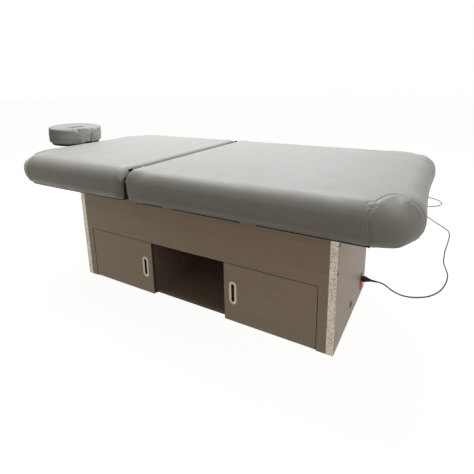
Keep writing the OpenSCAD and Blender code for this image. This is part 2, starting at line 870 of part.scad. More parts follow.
// Two cheeks under the backrest deck that hold the lift pin
module lift_bracket() {
    drop = mattress_z - lift_z;
    cheek_y = tongue_w / 2 + slide_play;
    color(steel) from_cabinet() translate([lift_x, 0, lift_z]) difference() {
        union() {
            translate([-lift_foot[0] / 2, -lift_foot[1] / 2, drop - lift_foot[2]]) cube(lift_foot);
            for (s = [-1, 1]) translate([0, s * (cheek_y + cheek_t / 2), 0]) {
                cross_pin(cheek_r, cheek_t);
                translate([-cheek_r, -cheek_t / 2, 0]) cube([2 * cheek_r, cheek_t, drop - cut]);
            }
        }
        cross_pin(link_pin_r, 2 * tongue_w + 4 * cheek_t);
    }
}

module lift_pin() {
    color(steel) from_cabinet() translate([lift_x, 0, lift_z])
        headed_pin(tongue_w + 2 * slide_play + 2 * cheek_t);
}

// Sleeves in saddles under the head end of the backrest deck, for the cradle's rods
module cradle_sockets() {
    start = deck_in - head_x;
    color(black_steel) from_cabinet() for (s = [-1, 1])
        translate([start, s * cradle_rod_y, socket_z]) difference() {
            union() {
                rotate([0, 90, 0]) cylinder(r = socket_r, h = socket_l, $fn = fine);
                for (x = [0, socket_l - saddle_l])
                    translate([x, -saddle_w / 2, 0])
                        cube([saddle_l, saddle_w, mattress_z - socket_z]);
            }
            translate([-cut, 0, 0]) rotate([0, 90, 0])
                cylinder(r = cradle_rod_r + pin_play, h = socket_l + 2 * cut, $fn = fine);
        }
}

// The actuator's own frame: Z along it from the base pin to the lift pin, X upwards
module at_actuator() {
    from_cabinet() translate([base_x, 0, base_z]) rotate([0, actuator_slope - 90, 0]) children();
}

// Gear housing with the rear clevis tongue
module actuator_housing() {
    depth = housing_s[1] - housing_s[0];
    side = motor_y + motor_r + motor_wall;
    color(black_plastic) at_actuator() difference() {
        union() {
            cross_pin(ear_r, clevis_w);
            translate([-ear_r, -clevis_w / 2, 0]) cube([2 * ear_r, clevis_w, housing_s[0] + cut]);
            translate([0, (side - housing_y) / 2, housing_s[0]]) linear_extrude(depth)
                round_rect(2 * housing_x, side + housing_y, housing_x / 2);
        }
        cross_pin(link_pin_r + pin_play, 2 * clevis_w);
        translate([0, 0, housing_s[1] - tube_nose / 2])
            cylinder(r = tube_r, h = tube_nose, $fn = fine);
    }
}

// The motor can beside the tube, with a domed end
module actuator_motor() {
    color(steel) at_actuator() translate([0, motor_y, housing_s[1]]) {
        cylinder(r = motor_r, h = motor_s - housing_s[1] - motor_dome, $fn = fine);
        translate([0, 0, motor_s - housing_s[1] - motor_dome])
            cylinder(r1 = motor_r, r2 = motor_r - motor_dome, h = motor_dome, $fn = fine);
    }
}

// The outer tube with its wiper collar at the nose
module actuator_tube() {
    start = housing_s[1] - tube_nose / 2;
    nose_s = rest_reach - tube_nose;
    color(steel) at_actuator() difference() {
        union() {
            translate([0, 0, start]) cylinder(r = tube_r, h = nose_s - start, $fn = fine);
            translate([0, 0, nose_s - collar_l])
                cylinder(r = tube_r + collar_r, h = collar_l, $fn = fine);
        }
        translate([0, 0, start + tube_wall])
            cylinder(r = tube_r - tube_wall, h = nose_s - start - tube_wall - collar_l, $fn = fine);
        translate([0, 0, start + tube_wall])
            cylinder(r = rod_r + pin_play, h = nose_s - start + cut, $fn = fine);
    }
}

// The rod and its flat end, whose slot lets the pin run ahead of the rod's even travel
module actuator_rod() {
    start = housing_s[1] + tube_wall + cut;
    tip = rest_reach + slot_run;
    hole = link_pin_r + slide_play / 2;
    color(satin_nickel) at_actuator() {
        translate([0, 0, start]) cylinder(r = rod_r, h = rest_reach - tongue_back - start + cut,
                                          $fn = fine);
        difference() {
            union() {
                translate([-tongue_h / 2, -tongue_w / 2, rest_reach - tongue_back])
                    cube([tongue_h, tongue_w, tip - rest_reach + tongue_back]);
                translate([0, 0, tip]) cross_pin(tongue_h / 2, tongue_w);
            }
            for (z = [rest_reach, tip]) translate([0, 0, z]) cross_pin(hole, 2 * tongue_w);
            translate([-hole, -tongue_w, rest_reach]) cube([2 * hole, 2 * tongue_w, slot_run]);
        }
    }
}

// Two rods from the crossbar into the sockets
module cradle_rods() {
    length = tilt_out + deck_in + rod_in;
    color(satin_nickel) from_cabinet() for (s = [-1, 1])
        translate([tilt_x + crossbar_r - cut, s * cradle_rod_y, socket_z]) rotate([0, 90, 0])
            cylinder(r = cradle_rod_r, h = length - crossbar_r + cut, $fn = fine);
}

// Crossbar with two uprights that carry the tilt pin
module cradle_crossbar() {
    bar_l = 2 * (cradle_rod_y + crossbar_over);
    color(satin_nickel) from_cabinet() translate([tilt_x, 0, socket_z]) difference() {
        union() {
            cross_pin(crossbar_r, bar_l);
            for (s = [-1, 1]) translate([0, s * upright_y, 0]) {
                translate([-upright_w / 2, -upright_t / 2, 0])
                    cube([upright_w, upright_t, tilt_pin_z]);
                translate([0, 0, tilt_pin_z]) cross_pin(upright_w / 2, upright_t);
            }
        }
        translate([0, 0, tilt_pin_z]) cross_pin(tilt_pin_r, bar_l);
        for (s = [-1, 1]) translate([crossbar_r - cut, s * cradle_rod_y, 0]) rotate([0, 90, 0])
            cylinder(r = cradle_rod_r, h = crossbar_r, $fn = fine);
    }
}

module cradle_tilt_pin() {
    color(steel) from_cabinet() translate([tilt_x, 0, tilt_z])
        cross_pin(tilt_pin_r, 2 * (lug_y + lug_t + cam_arm[2] + cam_gap));
}

// The cradle head's own frame: the tilt pin at the origin, parked at its tilt
module at_tilt() {
    from_cabinet() translate([tilt_x, 0, tilt_z]) rotate([0, cradle_tilt, 0]) children();
}

function ellipse(rx, ry, steps) =
    [for (i = [0:steps - 1]) [rx * cos(360 * i / steps), ry * sin(360 * i / steps)]];

// A ring of board under the cushion, open at the chin
module cradle_platform() {
    rx = cradle_length / 2 - platform_in;
    ry = cradle_width / 2 - platform_in;
    ring = cradle_ring_w - 2 * platform_in;
    color(black_plastic) at_tilt() translate([-cradle_back, 0, platform_up])
        linear_extrude(platform_t) difference() {
            polygon(ellipse(rx, ry, fine));
            polygon(ellipse(rx - ring, ry - ring, fine));
            translate([0, -chin_gap / 2]) square([2 * rx, chin_gap]);
            translate([cradle_back + platform_front, -ry]) square([rx, 2 * ry]);
        }
}

// Two lugs that hang from the platform onto the tilt pin
module cradle_lugs() {
    color(black_steel) at_tilt() for (s = [-1, 1]) translate([0, s * (lug_y + lug_t / 2), 0])
        difference() {
            union() {
                cross_pin(lug_w / 2, lug_t);
                translate([-lug_w / 2, -lug_t / 2, 0]) cube([lug_w, lug_t, platform_up]);
            }
            cross_pin(tilt_pin_r + pin_play, 2 * lug_t);
        }
}

// Rounded section of the cradle's ring, from -1 to 1 each way
function puffed(i) =
    let (a = 360 * i / cradle_points, e = cradle_square_share, c = cos(a), s = sin(a))
    [sign(c) * pow(abs(c), e), max(sign(s) * pow(abs(s), e), -cradle_flat_share)];

// One ring of the horseshoe, at an angle round its ellipse, shrunk towards its own middle
function cradle_ring(a, share) =
    let (rx = (cradle_length - cradle_ring_w) / 2,
         ry = (cradle_width - cradle_ring_w) / 2,
         n = [cos(a) / rx, sin(a) / ry] / norm([cos(a) / rx, sin(a) / ry]))
    [for (i = [0:cradle_points - 1])
        let (p = puffed(i) * share, out = p[0] * cradle_ring_w / 2)
        [rx * cos(a) + n[0] * out, ry * sin(a) + n[1] * out, p[1] * cradle_t / 2]];

// The horseshoe cushion, with rounded ends at the chin gap
module cradle_cushion() {
    ry = (cradle_width - cradle_ring_w) / 2;
    first = asin(chin_gap / 2 / ry);
    last = 360 - first;
    inner = first + (last - first) / cradle_stations;
    grow = [for (k = [0:1]) cradle_ring(first + k * (inner - first) / 2, cradle_end_shares[k])];
    shrink = [for (k = [0:1]) cradle_ring(last - k * (inner - first) / 2, cradle_end_shares[k])];
    full = [for (k = [1:cradle_stations - 1])
        cradle_ring(first + (last - first) * k / cradle_stations, 1)];
    rings = concat(grow, full, [shrink[1], shrink[0]]);
    color(leatherette) at_tilt()
        translate([-cradle_back, 0, cradle_z])
            loft(rings, middle(rings[0]), middle(rings[len(rings) - 1]));
}

// Lever on the end of the tilt pin: it hangs down when it clamps
module cradle_cam_lever() {
    y = lug_y + lug_t + cam_gap + cam_arm[2] / 2;
    color(black_plastic) from_cabinet() translate([tilt_x, y, tilt_z]) difference() {
        union() {
            cross_pin(cam_hub_r, cam_arm[2]);
            translate([-cam_arm[1] / 2, -cam_arm[2] / 2, -cam_arm[0]])
                cube([cam_arm[1], cam_arm[2], cam_arm[0]]);
            translate([0, 0, -cam_arm[0]]) cross_pin(cam_arm[1], cam_arm[2]);
        }
        cross_pin(tilt_pin_r + pin_play, 2 * cam_arm[2]);
    }
}

// A door at the foot: the hinge edge is rounded, and the pull's cup is let into the face
module door() {
    r = door_edge_r;
    difference() {
        translate([0, 0, door_floor_gap]) linear_extrude(door_h) {
            translate([door_x0, -half_d]) square([door_w - r, board_t]);
            translate([door_x1 - 2 * r, r - half_d]) square([2 * r, board_t - 2 * r]);
            for (y = [r - half_d, face_y - r]) translate([door_x1 - r, y]) circle(r, $fn = fine);
        }
        for (z = [door_floor_gap - cut, door_top - pivot_pin_in])
            translate([pivot_x, pivot_y, z])
                cylinder(r = door_pin_r, h = pivot_pin_in + cut, $fn = fine);
        translate([door_x0 + pull_in, -half_d - cut, pull_z])
            stadium(pull_w - 2 * pull_wall, pull_h - 2 * pull_wall,
                    pull_depth + pull_back + cut);
    }
}

// Recessed pull: a thin lip on the face and a cup behind it
module pull() {
    translate([door_x0 + pull_in, -half_d, pull_z]) difference() {
        union() {
            translate([0, -pull_lip_t, 0]) stadium(pull_w, pull_h, pull_lip_t);
            stadium(pull_w - 2 * pull_wall, pull_h - 2 * pull_wall, pull_depth + pull_back);
        }
        translate([0, -pull_lip_t - cut, 0])
            stadium(pull_slot_w, pull_slot_h, pull_depth + pull_lip_t + cut);
    }
}

// The pins of a door: the upper one turns in the apron, the lower one in its bracket
module door_pins() {
    collar = door_floor_gap - bracket_gap - bracket_t;
    translate([pivot_x, pivot_y, 0]) {
        translate([0, 0, door_top - pivot_pin_in])
            cylinder(r = door_pin_r, h = pivot_pin_in + pivot_pin_up, $fn = fine);
        translate([0, 0, bracket_gap])
            cylinder(r = door_pin_r, h = door_floor_gap + pivot_pin_in - bracket_gap - cut,
                     $fn = fine);
        translate([0, 0, bracket_gap + bracket_t])
            cylinder(r = 2 * door_pin_r, h = collar, $fn = fine);
    }
}

module head_door() {
    color(oak) from_cabinet() scale_side(-1) door();
}

module head_door_pull() {
    color(satin_nickel) from_cabinet() scale_side(-1) pull();
}

module head_door_pins() {
    color(steel) from_cabinet() scale_side(-1) door_pins();
}

module foot_door() {
    color(oak) from_cabinet() door();
}

module foot_door_pull() {
    color(satin_nickel) from_cabinet() pull();
}

module foot_door_pins() {
    color(steel) from_cabinet() door_pins();
}

// The cord's connector in the inlet: a nose over the blades, a grip, a taper and a sleeve
module cord_connector() {
    out = inlet_flange[2];
    hole = [blade[0] + 2 * blade_hole_play, blade[1] + 2 * blade_hole_play];
    color(black_plastic) at_inlet() {
        difference() {
            union() {
                inlet_block([nose[0], nose[1], nose[2] + cut], out + cut);
                translate([out + slide_play, 0, 0]) rotate([0, 90, 0])
                    linear_extrude(connector_neck[2])
                        round_rect(connector_neck[1], connector_neck[0], connector_neck[1] / 4);
            }
            at_blades() translate([-cut, -hole[0] / 2, -hole[1] / 2])
                cube([blade[2] + 2 * cut, hole[0], hole[1]]);
        }
        translate([out + slide_play + connector_neck[2], 0, 0]) rotate([0, 90, 0])
            cylinder(r1 = connector_neck[1] / 2, r2 = strain_r, h = connector_taper, $fn = fine);
        translate([out + slide_play + connector_neck[2] + connector_taper, 0, 0])
            rotate([0, 90, 0])
                cylinder(r1 = strain_r, r2 = cord_d / 2 + cut, h = strain_l, $fn = fine);
    }
}

// Points of the cord: a straight start out of the sleeve, the route, and a straight end
cord_start = half_l + inlet_flange[2] + slide_play + connector_neck[2] + connector_taper
    + strain_l;
plug_z = plug_size[2] / 2;
cord_way = concat([[cord_start, inlet_y, inlet_z], [cord_start + 2 * cord_d, inlet_y, inlet_z]],
                  [for (p = cord_route) [p[0], p[1], p[2] + cord_lie]],
                  [[plug_place[0] + 3 * cord_d, plug_place[1], plug_z],
                   [plug_place[0], plug_place[1], plug_z]]);

// A smooth curve through the points, with a number of steps between each two
function smooth(p, steps) = let (n = len(p) - 1) concat([for (i = [0:n - 1], k = [0:steps - 1])
    let (t = k / steps, a = p[max(i - 1, 0)], b = p[i], c = p[i + 1], d = p[min(i + 2, n)])
    b + (c - a) / 2 * t + (a - b * 5 / 2 + c * 2 - d / 2) * t * t
        + (b * 3 - a - c * 3 + d) / 2 * t * t * t], [p[n]]);

// A tube along a line: rings square to the way ahead, side by side with level ground
function tube_rings(line, r, sides) = let (n = len(line) - 1) [for (i = [0:n])
    let (way = line[min(i + 1, n)] - line[max(i - 1, 0)],
         t = way / norm(way),
         level = [-t[1], t[0], 0] / norm([t[0], t[1]]),
         up = cross(t, level))
    [for (k = [0:sides - 1]) line[i] + r * (level * cos(360 * k / sides)
                                            + up * sin(360 * k / sides))]];

module mains_cord() {
    line = smooth(cord_way, cord_steps);
    rings = tube_rings(line, cord_d / 2, cord_sides);
    color(black_plastic) from_cabinet() mirror_faces(rings, line);
}

// The tube's rings run along the cord, so its ends are closed by fans round the line's ends
module mirror_faces(rings, line) {
    n = len(rings);
    m = len(rings[0]);
    faces = [for (f = loft_faces(n, m)) [f[2], f[1], f[0]]];
    polyhedron(concat(flat_list(rings), [line[0], line[n - 1]]), faces);
}

// The plug lies on its side on the floor at the end of the cord
module mains_plug() {
    end = cord_way[len(cord_way) - 1];
    color(black_plastic) from_cabinet() translate([end[0], end[1], end[2]])
        rotate([0, -90, 0]) {
            cylinder(r1 = cord_d / 2 + cut - seat, r2 = strain_r, h = plug_neck_l, $fn = fine);
            translate([0, 0, plug_neck_l]) {
                linear_extrude(plug_size[0])
                    round_rect(plug_size[2], plug_size[1], plug_size[2] / 4);
                for (s = [-1, 1]) translate([0, s * plug_pin_gap / 2, plug_size[0]])
                    cylinder(r = plug_pin_r, h = plug_pin_l, $fn = fine);
            }
        }
}

head_end_panel();
foot_end_panel();
front_edge_bands();
front_apron();
front_stiles();
back_panel();
bay_floor();
head_partition();
foot_partition();
shelf_board();
head_floor_board();
foot_floor_board();
top_rails();
cross_rails();
fixed_deck();
body_cushion();
rest_pads();
deck_spacers();
fixed_hinge_leaves();
hinge_pins();
actuator_base_bracket();
actuator_base_pin();
control_box();
inner_mains_lead();
mains_inlet();
inlet_blades();
cable_grommet();
panel_screws();
door_pivot_brackets();
door_catches();
backrest_deck();
backrest_cushion();
backrest_hinge_leaves();
lift_bracket();
lift_pin();
cradle_sockets();
actuator_housing();
actuator_motor();
actuator_tube();
actuator_rod();
cradle_rods();
cradle_crossbar();
cradle_tilt_pin();
cradle_platform();
cradle_lugs();
cradle_cushion();
cradle_cam_lever();
head_door();
head_door_pull();
head_door_pins();
foot_door();
foot_door_pull();
foot_door_pins();
switch_rocker();
cord_connector();
mains_cord();
mains_plug();
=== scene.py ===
"""Dressed model of a spa bed: padded top in two sections on a cabinet with doors and an open shelf."""
import math

import bmesh
import bpy
from mathutils import Matrix, Vector, noise
from mathutils.bvhtree import BVHTree
from mathutils.kdtree import KDTree


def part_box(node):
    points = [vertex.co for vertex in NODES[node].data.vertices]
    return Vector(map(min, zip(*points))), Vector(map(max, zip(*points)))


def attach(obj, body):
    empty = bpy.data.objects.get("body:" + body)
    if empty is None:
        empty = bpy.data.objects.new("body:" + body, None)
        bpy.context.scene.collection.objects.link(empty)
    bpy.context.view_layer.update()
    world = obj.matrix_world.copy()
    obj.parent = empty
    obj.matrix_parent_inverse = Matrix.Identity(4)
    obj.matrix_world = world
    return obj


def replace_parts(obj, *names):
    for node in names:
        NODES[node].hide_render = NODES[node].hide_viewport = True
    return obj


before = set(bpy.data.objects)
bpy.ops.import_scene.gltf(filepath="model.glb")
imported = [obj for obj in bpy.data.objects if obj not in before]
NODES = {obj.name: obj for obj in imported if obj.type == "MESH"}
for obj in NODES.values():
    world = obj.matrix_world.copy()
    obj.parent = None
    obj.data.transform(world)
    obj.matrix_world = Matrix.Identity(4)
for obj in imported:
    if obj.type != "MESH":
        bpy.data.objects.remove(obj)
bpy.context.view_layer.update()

MM = 0.001
MID_X = (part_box("head_end_panel")[0][0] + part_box("foot_end_panel")[1][0]) / 2
UP = Vector((0, 0, 1))
scene = bpy.context.scene


def at(x, y, z):
    """A point given in millimetres from the middle of the cabinet, on the floor."""
    return Vector((x * MM + MID_X, y * MM, z * MM))


def clamped(value):
    return min(1.0, max(0.0, value))


def smooth_step(t):
    return t * t * (3 - 2 * t)


def bell(distance, width):
    """One in the middle, falling to nought over a few widths."""
    return math.exp(-(distance / width) ** 2)


def between(a, b, c, d, t):
    """The point at a share t of the way from b to c, on a smooth curve through all four."""
    return b + (c - a) / 2 * t + (a - b * 2.5 + c * 2 - d / 2) * t * t \
        + (b * 3 - a - c * 3 + d) / 2 * t ** 3


def stretches(points):
    """Each stretch of a way with its neighbours: the point before, its two ends, the point after."""
    last = len(points) - 1
    for i in range(last):
        yield points[max(i - 1, 0)], points[i], points[i + 1], points[min(i + 2, last)]


# ---------------------------------------------------------------- camera

CAMERA_TURN = (29.99, 13.50, -0.90)  # yaw, pitch and roll, in degrees
CAMERA_PLACE = (1015.7, -1555.5, 1049.2)
SENSOR_WIDTH, FOCAL_LENGTH, SHIFT_UP = 36, 27.55, -0.1325
CLIP_NEAR, CLIP_FAR = 0.05, 200


def photo_camera():
    """The camera of the photograph, fitted to the edges of the cabinet and the top."""
    yaw, pitch, roll = (math.radians(a) for a in CAMERA_TURN)
    ahead = Vector((-math.sin(yaw) * math.cos(pitch), math.cos(yaw) * math.cos(pitch),
                    -math.sin(pitch)))
    right = ahead.cross(UP).normalized()
    up = right.cross(ahead)
    right, up = (math.cos(roll) * right + math.sin(roll) * up,
                 math.cos(roll) * up - math.sin(roll) * right)
    data = bpy.data.cameras.new("photo_camera")
    data.sensor_width = SENSOR_WIDTH
    data.lens = FOCAL_LENGTH
    data.shift_y = SHIFT_UP
    data.clip_start = CLIP_NEAR
    data.clip_end = CLIP_FAR
    camera = bpy.data.objects.new("photo_camera", data)
    turn = Matrix((right, up, -ahead)).transposed().to_4x4()
    camera.matrix_world = Matrix.Translation(at(*CAMERA_PLACE)) @ turn
    scene.collection.objects.link(camera)
    scene.camera = camera


photo_camera()


# ---------------------------------------------------------------- finishes

def skin_of(mat):
    return mat.node_tree.nodes["Principled BSDF"]


def finish(name, colour, rough, metallic=0.0, **sockets):
    mat = bpy.data.materials.new(name)
    mat.use_nodes = True
    skin = skin_of(mat)
    skin.inputs["Base Color"].default_value = (*colour, 1)
    skin.inputs["Roughness"].default_value = rough
    skin.inputs["Metallic"].default_value = metallic
    for socket, value in sockets.items():
        skin.inputs[socket.replace("_", " ")].default_value = value
    return mat


def add(mat, kind, **settings):
    """A new node; a setting with a small first letter is the node's own, the others are sockets."""
    node = mat.node_tree.nodes.new("ShaderNode" + kind)
    for key, value in settings.items():
        if key[0].islower():
            setattr(node, key, value)
        else:
            node.inputs[key.replace("_", " ")].default_value = value
    return node


def wire(mat, source, target):
    mat.node_tree.links.new(source, target)


def place_of(mat, scale=(1, 1, 1)):
    """Object coordinates in metres, stretched by a scale for each axis."""
    coords = add(mat, "TexCoord")
    mapping = add(mat, "Mapping", Scale=scale)
    wire(mat, coords.outputs["Object"], mapping.inputs["Vector"])
    return mapping.outputs["Vector"]


def noise_of(mat, place, scale, detail=4.0, rough=0.5, distortion=0.0):
    node = add(mat, "TexNoise", Scale=scale, Detail=detail, Roughness=rough, Distortion=distortion)
    wire(mat, place, node.inputs["Vector"])
    return node.outputs["Fac"]


def ramp(mat, value, *stops):
    node = add(mat, "ValToRGB")
    for element, (where, colour) in zip(node.color_ramp.elements, stops):
        element.position = where
        element.color = (*colour, 1)
    wire(mat, value, node.inputs["Fac"])
    return node.outputs["Color"]


def grey(mat, value, low, high, start=0.3, end=0.7):
    return ramp(mat, value, (start, (low,) * 3), (end, (high,) * 3))


def over(mat, below, above, amount, mode="MULTIPLY"):
    node = add(mat, "Mix", data_type="RGBA", blend_type=mode, Factor=amount)
    wire(mat, below, node.inputs[6])
    wire(mat, above, node.inputs[7])
    return node.outputs[2]


def colour_from(mat, value):
    wire(mat, value, skin_of(mat).inputs["Base Color"])


def rough_from(mat, value, low, high):
    wire(mat, grey(mat, value, low, high), skin_of(mat).inputs["Roughness"])


def bump(mat, *layers):
    """Height layers, each a value, a strength and a depth in metres, laid on each other."""
    below = None
    for height, strength, depth in layers:
        node = add(mat, "Bump", Strength=strength, Distance=depth)
        wire(mat, height, node.inputs["Height"])
        if below:
            wire(mat, below, node.inputs["Normal"])
        below = node.outputs["Normal"]
    wire(mat, below, skin_of(mat).inputs["Normal"])


def leatherette():
    """Grey skin with broad tones, fine grain, slight waves and small cells."""
    mat = finish("leatherette_skin", (0.405, 0.403, 0.388), rough=0.45, Specular_IOR_Level=0.45)
    place = place_of(mat)
    patches = noise_of(mat, place, scale=5.0, detail=3.0)
    tone = ramp(mat, patches, (0.3, (0.395, 0.392, 0.372)), (0.7, (0.423, 0.422, 0.408)))
    fine = noise_of(mat, place, scale=420.0, detail=2.0)
    colour_from(mat, over(mat, tone, grey(mat, fine, low=0.94, high=1.0), amount=1.0))
    rough_from(mat, noise_of(mat, place, scale=14.0, detail=5.0), low=0.40, high=0.52)
    cells = add(mat, "TexVoronoi", Scale=780.0, Randomness=0.9)
    wire(mat, place, cells.inputs["Vector"])
    waves = noise_of(mat, place, scale=22.0, detail=4.0, rough=0.55, distortion=0.6)
    bump(mat, (waves, 0.25, 0.0012), (cells.outputs["Distance"], 0.35, 0.0003))
    return mat


def cover_cloth():
    """Woven cloth: crossed ribs over soft dents."""
    mat = finish("cradle_cover_cloth", (0.44, 0.44, 0.435), rough=0.85,
                 Sheen_Weight=0.08, Sheen_Roughness=0.5)
    place = place_of(mat)
    patches = noise_of(mat, place, scale=18.0, detail=4.0)
    tone = ramp(mat, patches, (0.3, (0.42, 0.42, 0.415)), (0.7, (0.475, 0.475, 0.47)))
    ribs = add(mat, "TexWave", Scale=230.0, Distortion=0.6, Detail=1.0, Detail_Scale=3.0)
    rows = add(mat, "TexWave", Scale=190.0, Distortion=0.6, Detail=1.0, bands_direction="Y")
    wire(mat, place, ribs.inputs["Vector"])
    wire(mat, place, rows.inputs["Vector"])
    weave = over(mat, ribs.outputs["Color"], rows.outputs["Color"], amount=0.5, mode="MIX")
    shade = grey(mat, weave, low=0.86, high=1.0, start=0.2, end=0.8)
    colour_from(mat, over(mat, tone, shade, amount=1.0))
    bump(mat, (noise_of(mat, place, scale=60.0, detail=4.0), 0.3, 0.0015), (weave, 0.4, 0.0003))
    return mat


ALONG_X, ALONG_Y = (2.2, 60.0, 60.0), (60.0, 2.2, 60.0)
BROAD_SHARE = 0.16
PORES_ACROSS, PORES_ALONG = 3.2, 4.0


def wood(name, light, dark, along=ALONG_X, rough=(0.42, 0.56), pores=0.94, grain=0.75):
    """Laminate with a wood print: long grain along one axis, fine pores and a slight sheen."""
    mat = finish(name, light, rough[0], Specular_IOR_Level=0.4)
    place = place_of(mat, along)
    broad = place_of(mat, tuple(a * BROAD_SHARE for a in along))
    sweep = noise_of(mat, broad, scale=2.4, detail=5.0, rough=0.55, distortion=0.9)
    lines = noise_of(mat, place, scale=2.2, detail=6.0, rough=0.62, distortion=0.25)
    tone = ramp(mat, sweep, (0.32, dark), (0.68, light))
    streaks = grey(mat, lines, low=0.90, high=1.02, start=0.34, end=0.66)
    tone = over(mat, tone, streaks, amount=grain)
    across = max(along)
    close = place_of(mat, tuple(a * (PORES_ACROSS if a == across else PORES_ALONG) for a in along))
    fine = noise_of(mat, close, scale=3.0, detail=3.0)
    dots = grey(mat, fine, low=pores, high=1.0, start=0.38, end=0.52)
    colour_from(mat, over(mat, tone, dots, amount=0.8))
    rough_from(mat, lines, low=rough[1], high=rough[0])
    bump(mat, (fine, 0.25, 0.0002))
    return mat


def plywood():
    """Birch plywood: a quiet face grain over bands of plies."""
    mat = finish("birch_plywood", (0.56, 0.42, 0.26), rough=0.6)
    place = place_of(mat, (30, 3, 30))
    face = noise_of(mat, place, scale=3.0, detail=5.0, rough=0.6, distortion=0.4)
    tone = ramp(mat, face, (0.3, (0.46, 0.33, 0.19)), (0.7, (0.62, 0.48, 0.31)))
    plies = add(mat, "TexWave", Scale=55.0, bands_direction="Z", Distortion=0.5, Detail=2.0)
    wire(mat, place_of(mat), plies.inputs["Vector"])
    bands = grey(mat, plies.outputs["Fac"], low=0.72, high=1.0, start=0.35, end=0.6)
    colour_from(mat, over(mat, tone, bands, amount=0.6))
    bump(mat, (face, 0.25, 0.0004))
    return mat


def speckled(name, light, dark, metallic, rough):
    """Pale edging with dark specks in uneven patches."""
    mat = finish(name, light, rough, metallic)
    place = place_of(mat)
    grit = noise_of(mat, place, scale=230.0, detail=4.0, rough=0.7)
    patches = noise_of(mat, place, scale=75.0, detail=3.0)
    tone = ramp(mat, grit, (0.40, dark), (0.50, light))
    colour_from(mat, over(mat, tone, grey(mat, patches, low=0.74, high=1.0), amount=0.9))
    rough_from(mat, grit, low=rough + 0.12, high=rough)
    bump(mat, (grit, 0.2, 0.0002))
    return mat


def shades(colour, dark, light):
    """A darker and a lighter shade of one colour."""
    return tuple(c * dark for c in colour), tuple(c * light for c in colour)


def metal(name, colour, rough, along=(300.0, 8.0, 300.0)):
    """Brushed metal with faint wear."""
    mat = finish(name, colour, rough, metallic=1.0)
    brushed = noise_of(mat, place_of(mat, along), scale=3.0, detail=4.0, rough=0.6)
    wear = noise_of(mat, place_of(mat), scale=45.0, detail=4.0, rough=0.6)
    dark, light = shades(colour, 0.82, 1.0)
    colour_from(mat, ramp(mat, wear, (0.3, dark), (0.6, light)))
    rough_from(mat, brushed, low=rough * 1.35, high=rough * 0.8)
    bump(mat, (brushed, 0.12, 0.0002))
    return mat


def moulded(name, colour, rough, grit=900.0, depth=0.00015, **sockets):
    """Moulded plastic, rubber or paint with a fine texture."""
    mat = finish(name, colour, rough, **sockets)
    place = place_of(mat)
    patches = noise_of(mat, place, scale=26.0, detail=4.0)
    dark, light = shades(colour, 0.85, 1.12)
    colour_from(mat, ramp(mat, patches, (0.3, dark), (0.7, light)))
    rough_from(mat, patches, low=rough + 0.1, high=rough - 0.06)
    bump(mat, (noise_of(mat, place, scale=grit, detail=2.0), 0.3, depth))
    return mat


LEATHERETTE = leatherette()
COVER = cover_cloth()
# painted light and shade: one oak laminate in two copies, the front's lighter for its shade and the
# ends' darker for their light; the ends' grain also runs along y and is fainter
OAK_FRONT_LIGHTER_FOR_SHADE = wood("oak_laminate_front_lighter_for_shade", (0.76, 0.64, 0.53), (0.70, 0.58, 0.475), pores=0.92)
OAK_END_DARKER_FOR_LIGHT = wood("oak_laminate_end_darker_for_light", (0.665, 0.555, 0.445), (0.615, 0.505, 0.40), along=ALONG_Y,
               pores=0.97, grain=0.15)
DARK = wood("dark_laminate_inside", (0.43, 0.35, 0.295), (0.37, 0.30, 0.25), rough=(0.24, 0.34))
# painted shade: a dark brown for the sheets in the door gaps, also laid on the doors' free edges
DARK_EDGE_AND_GAP_SHADE = wood("dark_edge_tape", (0.15, 0.12, 0.095), (0.12, 0.095, 0.075), rough=(0.6, 0.7))
# painted shade: a dark olive copy of the oak for the shelf's front, which sits low and back in shade
SHELF_FRONT_SHADE = wood("shelf_front_painted_shade", (0.19, 0.155, 0.105), (0.16, 0.13, 0.09), rough=(0.6, 0.7))
PLYWOOD = plywood()
STRIP = speckled("speckled_edge_strip", light=(1.0, 0.91, 0.77), dark=(0.45, 0.38, 0.28),
                 metallic=0.5, rough=0.36)
PULL = metal("satin_nickel_pull", (0.45, 0.385, 0.31), rough=0.34, along=(8.0, 300.0, 8.0))
STEEL = metal("zinc_plated_steel", (0.62, 0.63, 0.65), rough=0.34)
BLACK_STEEL = moulded("black_painted_steel", (0.028, 0.028, 0.03), rough=0.42, grit=700.0)
# painted shade: a near-black for the sheet that darkens the split between the sections
SPLIT_SHADE_BLACK = moulded("split_painted_shade_black", (0.012, 0.011, 0.010), rough=0.9, grit=1400.0)
BLACK_PLASTIC = moulded("black_moulded_plastic", (0.011, 0.011, 0.012), rough=0.42,
                        Specular_IOR_Level=0.3)
RUBBER = moulded("black_cable_rubber", (0.03, 0.03, 0.032), rough=0.52, grit=500.0)
RED_LENS = moulded("red_rocker_lens", (0.80, 0.22, 0.18), rough=0.30, grit=300.0, depth=0.00008,
                   Emission_Color=(1.0, 0.30, 0.25, 1), Emission_Strength=0.30)
# painted shade: the dark of the pulls' finger slots
PULL_SLOT_SHADE = moulded("pull_slot_painted_shade", (0.050, 0.036, 0.030), rough=0.5)
BROWN_PLASTIC = moulded("brown_moulded_plastic", (0.26, 0.19, 0.14), rough=0.5)

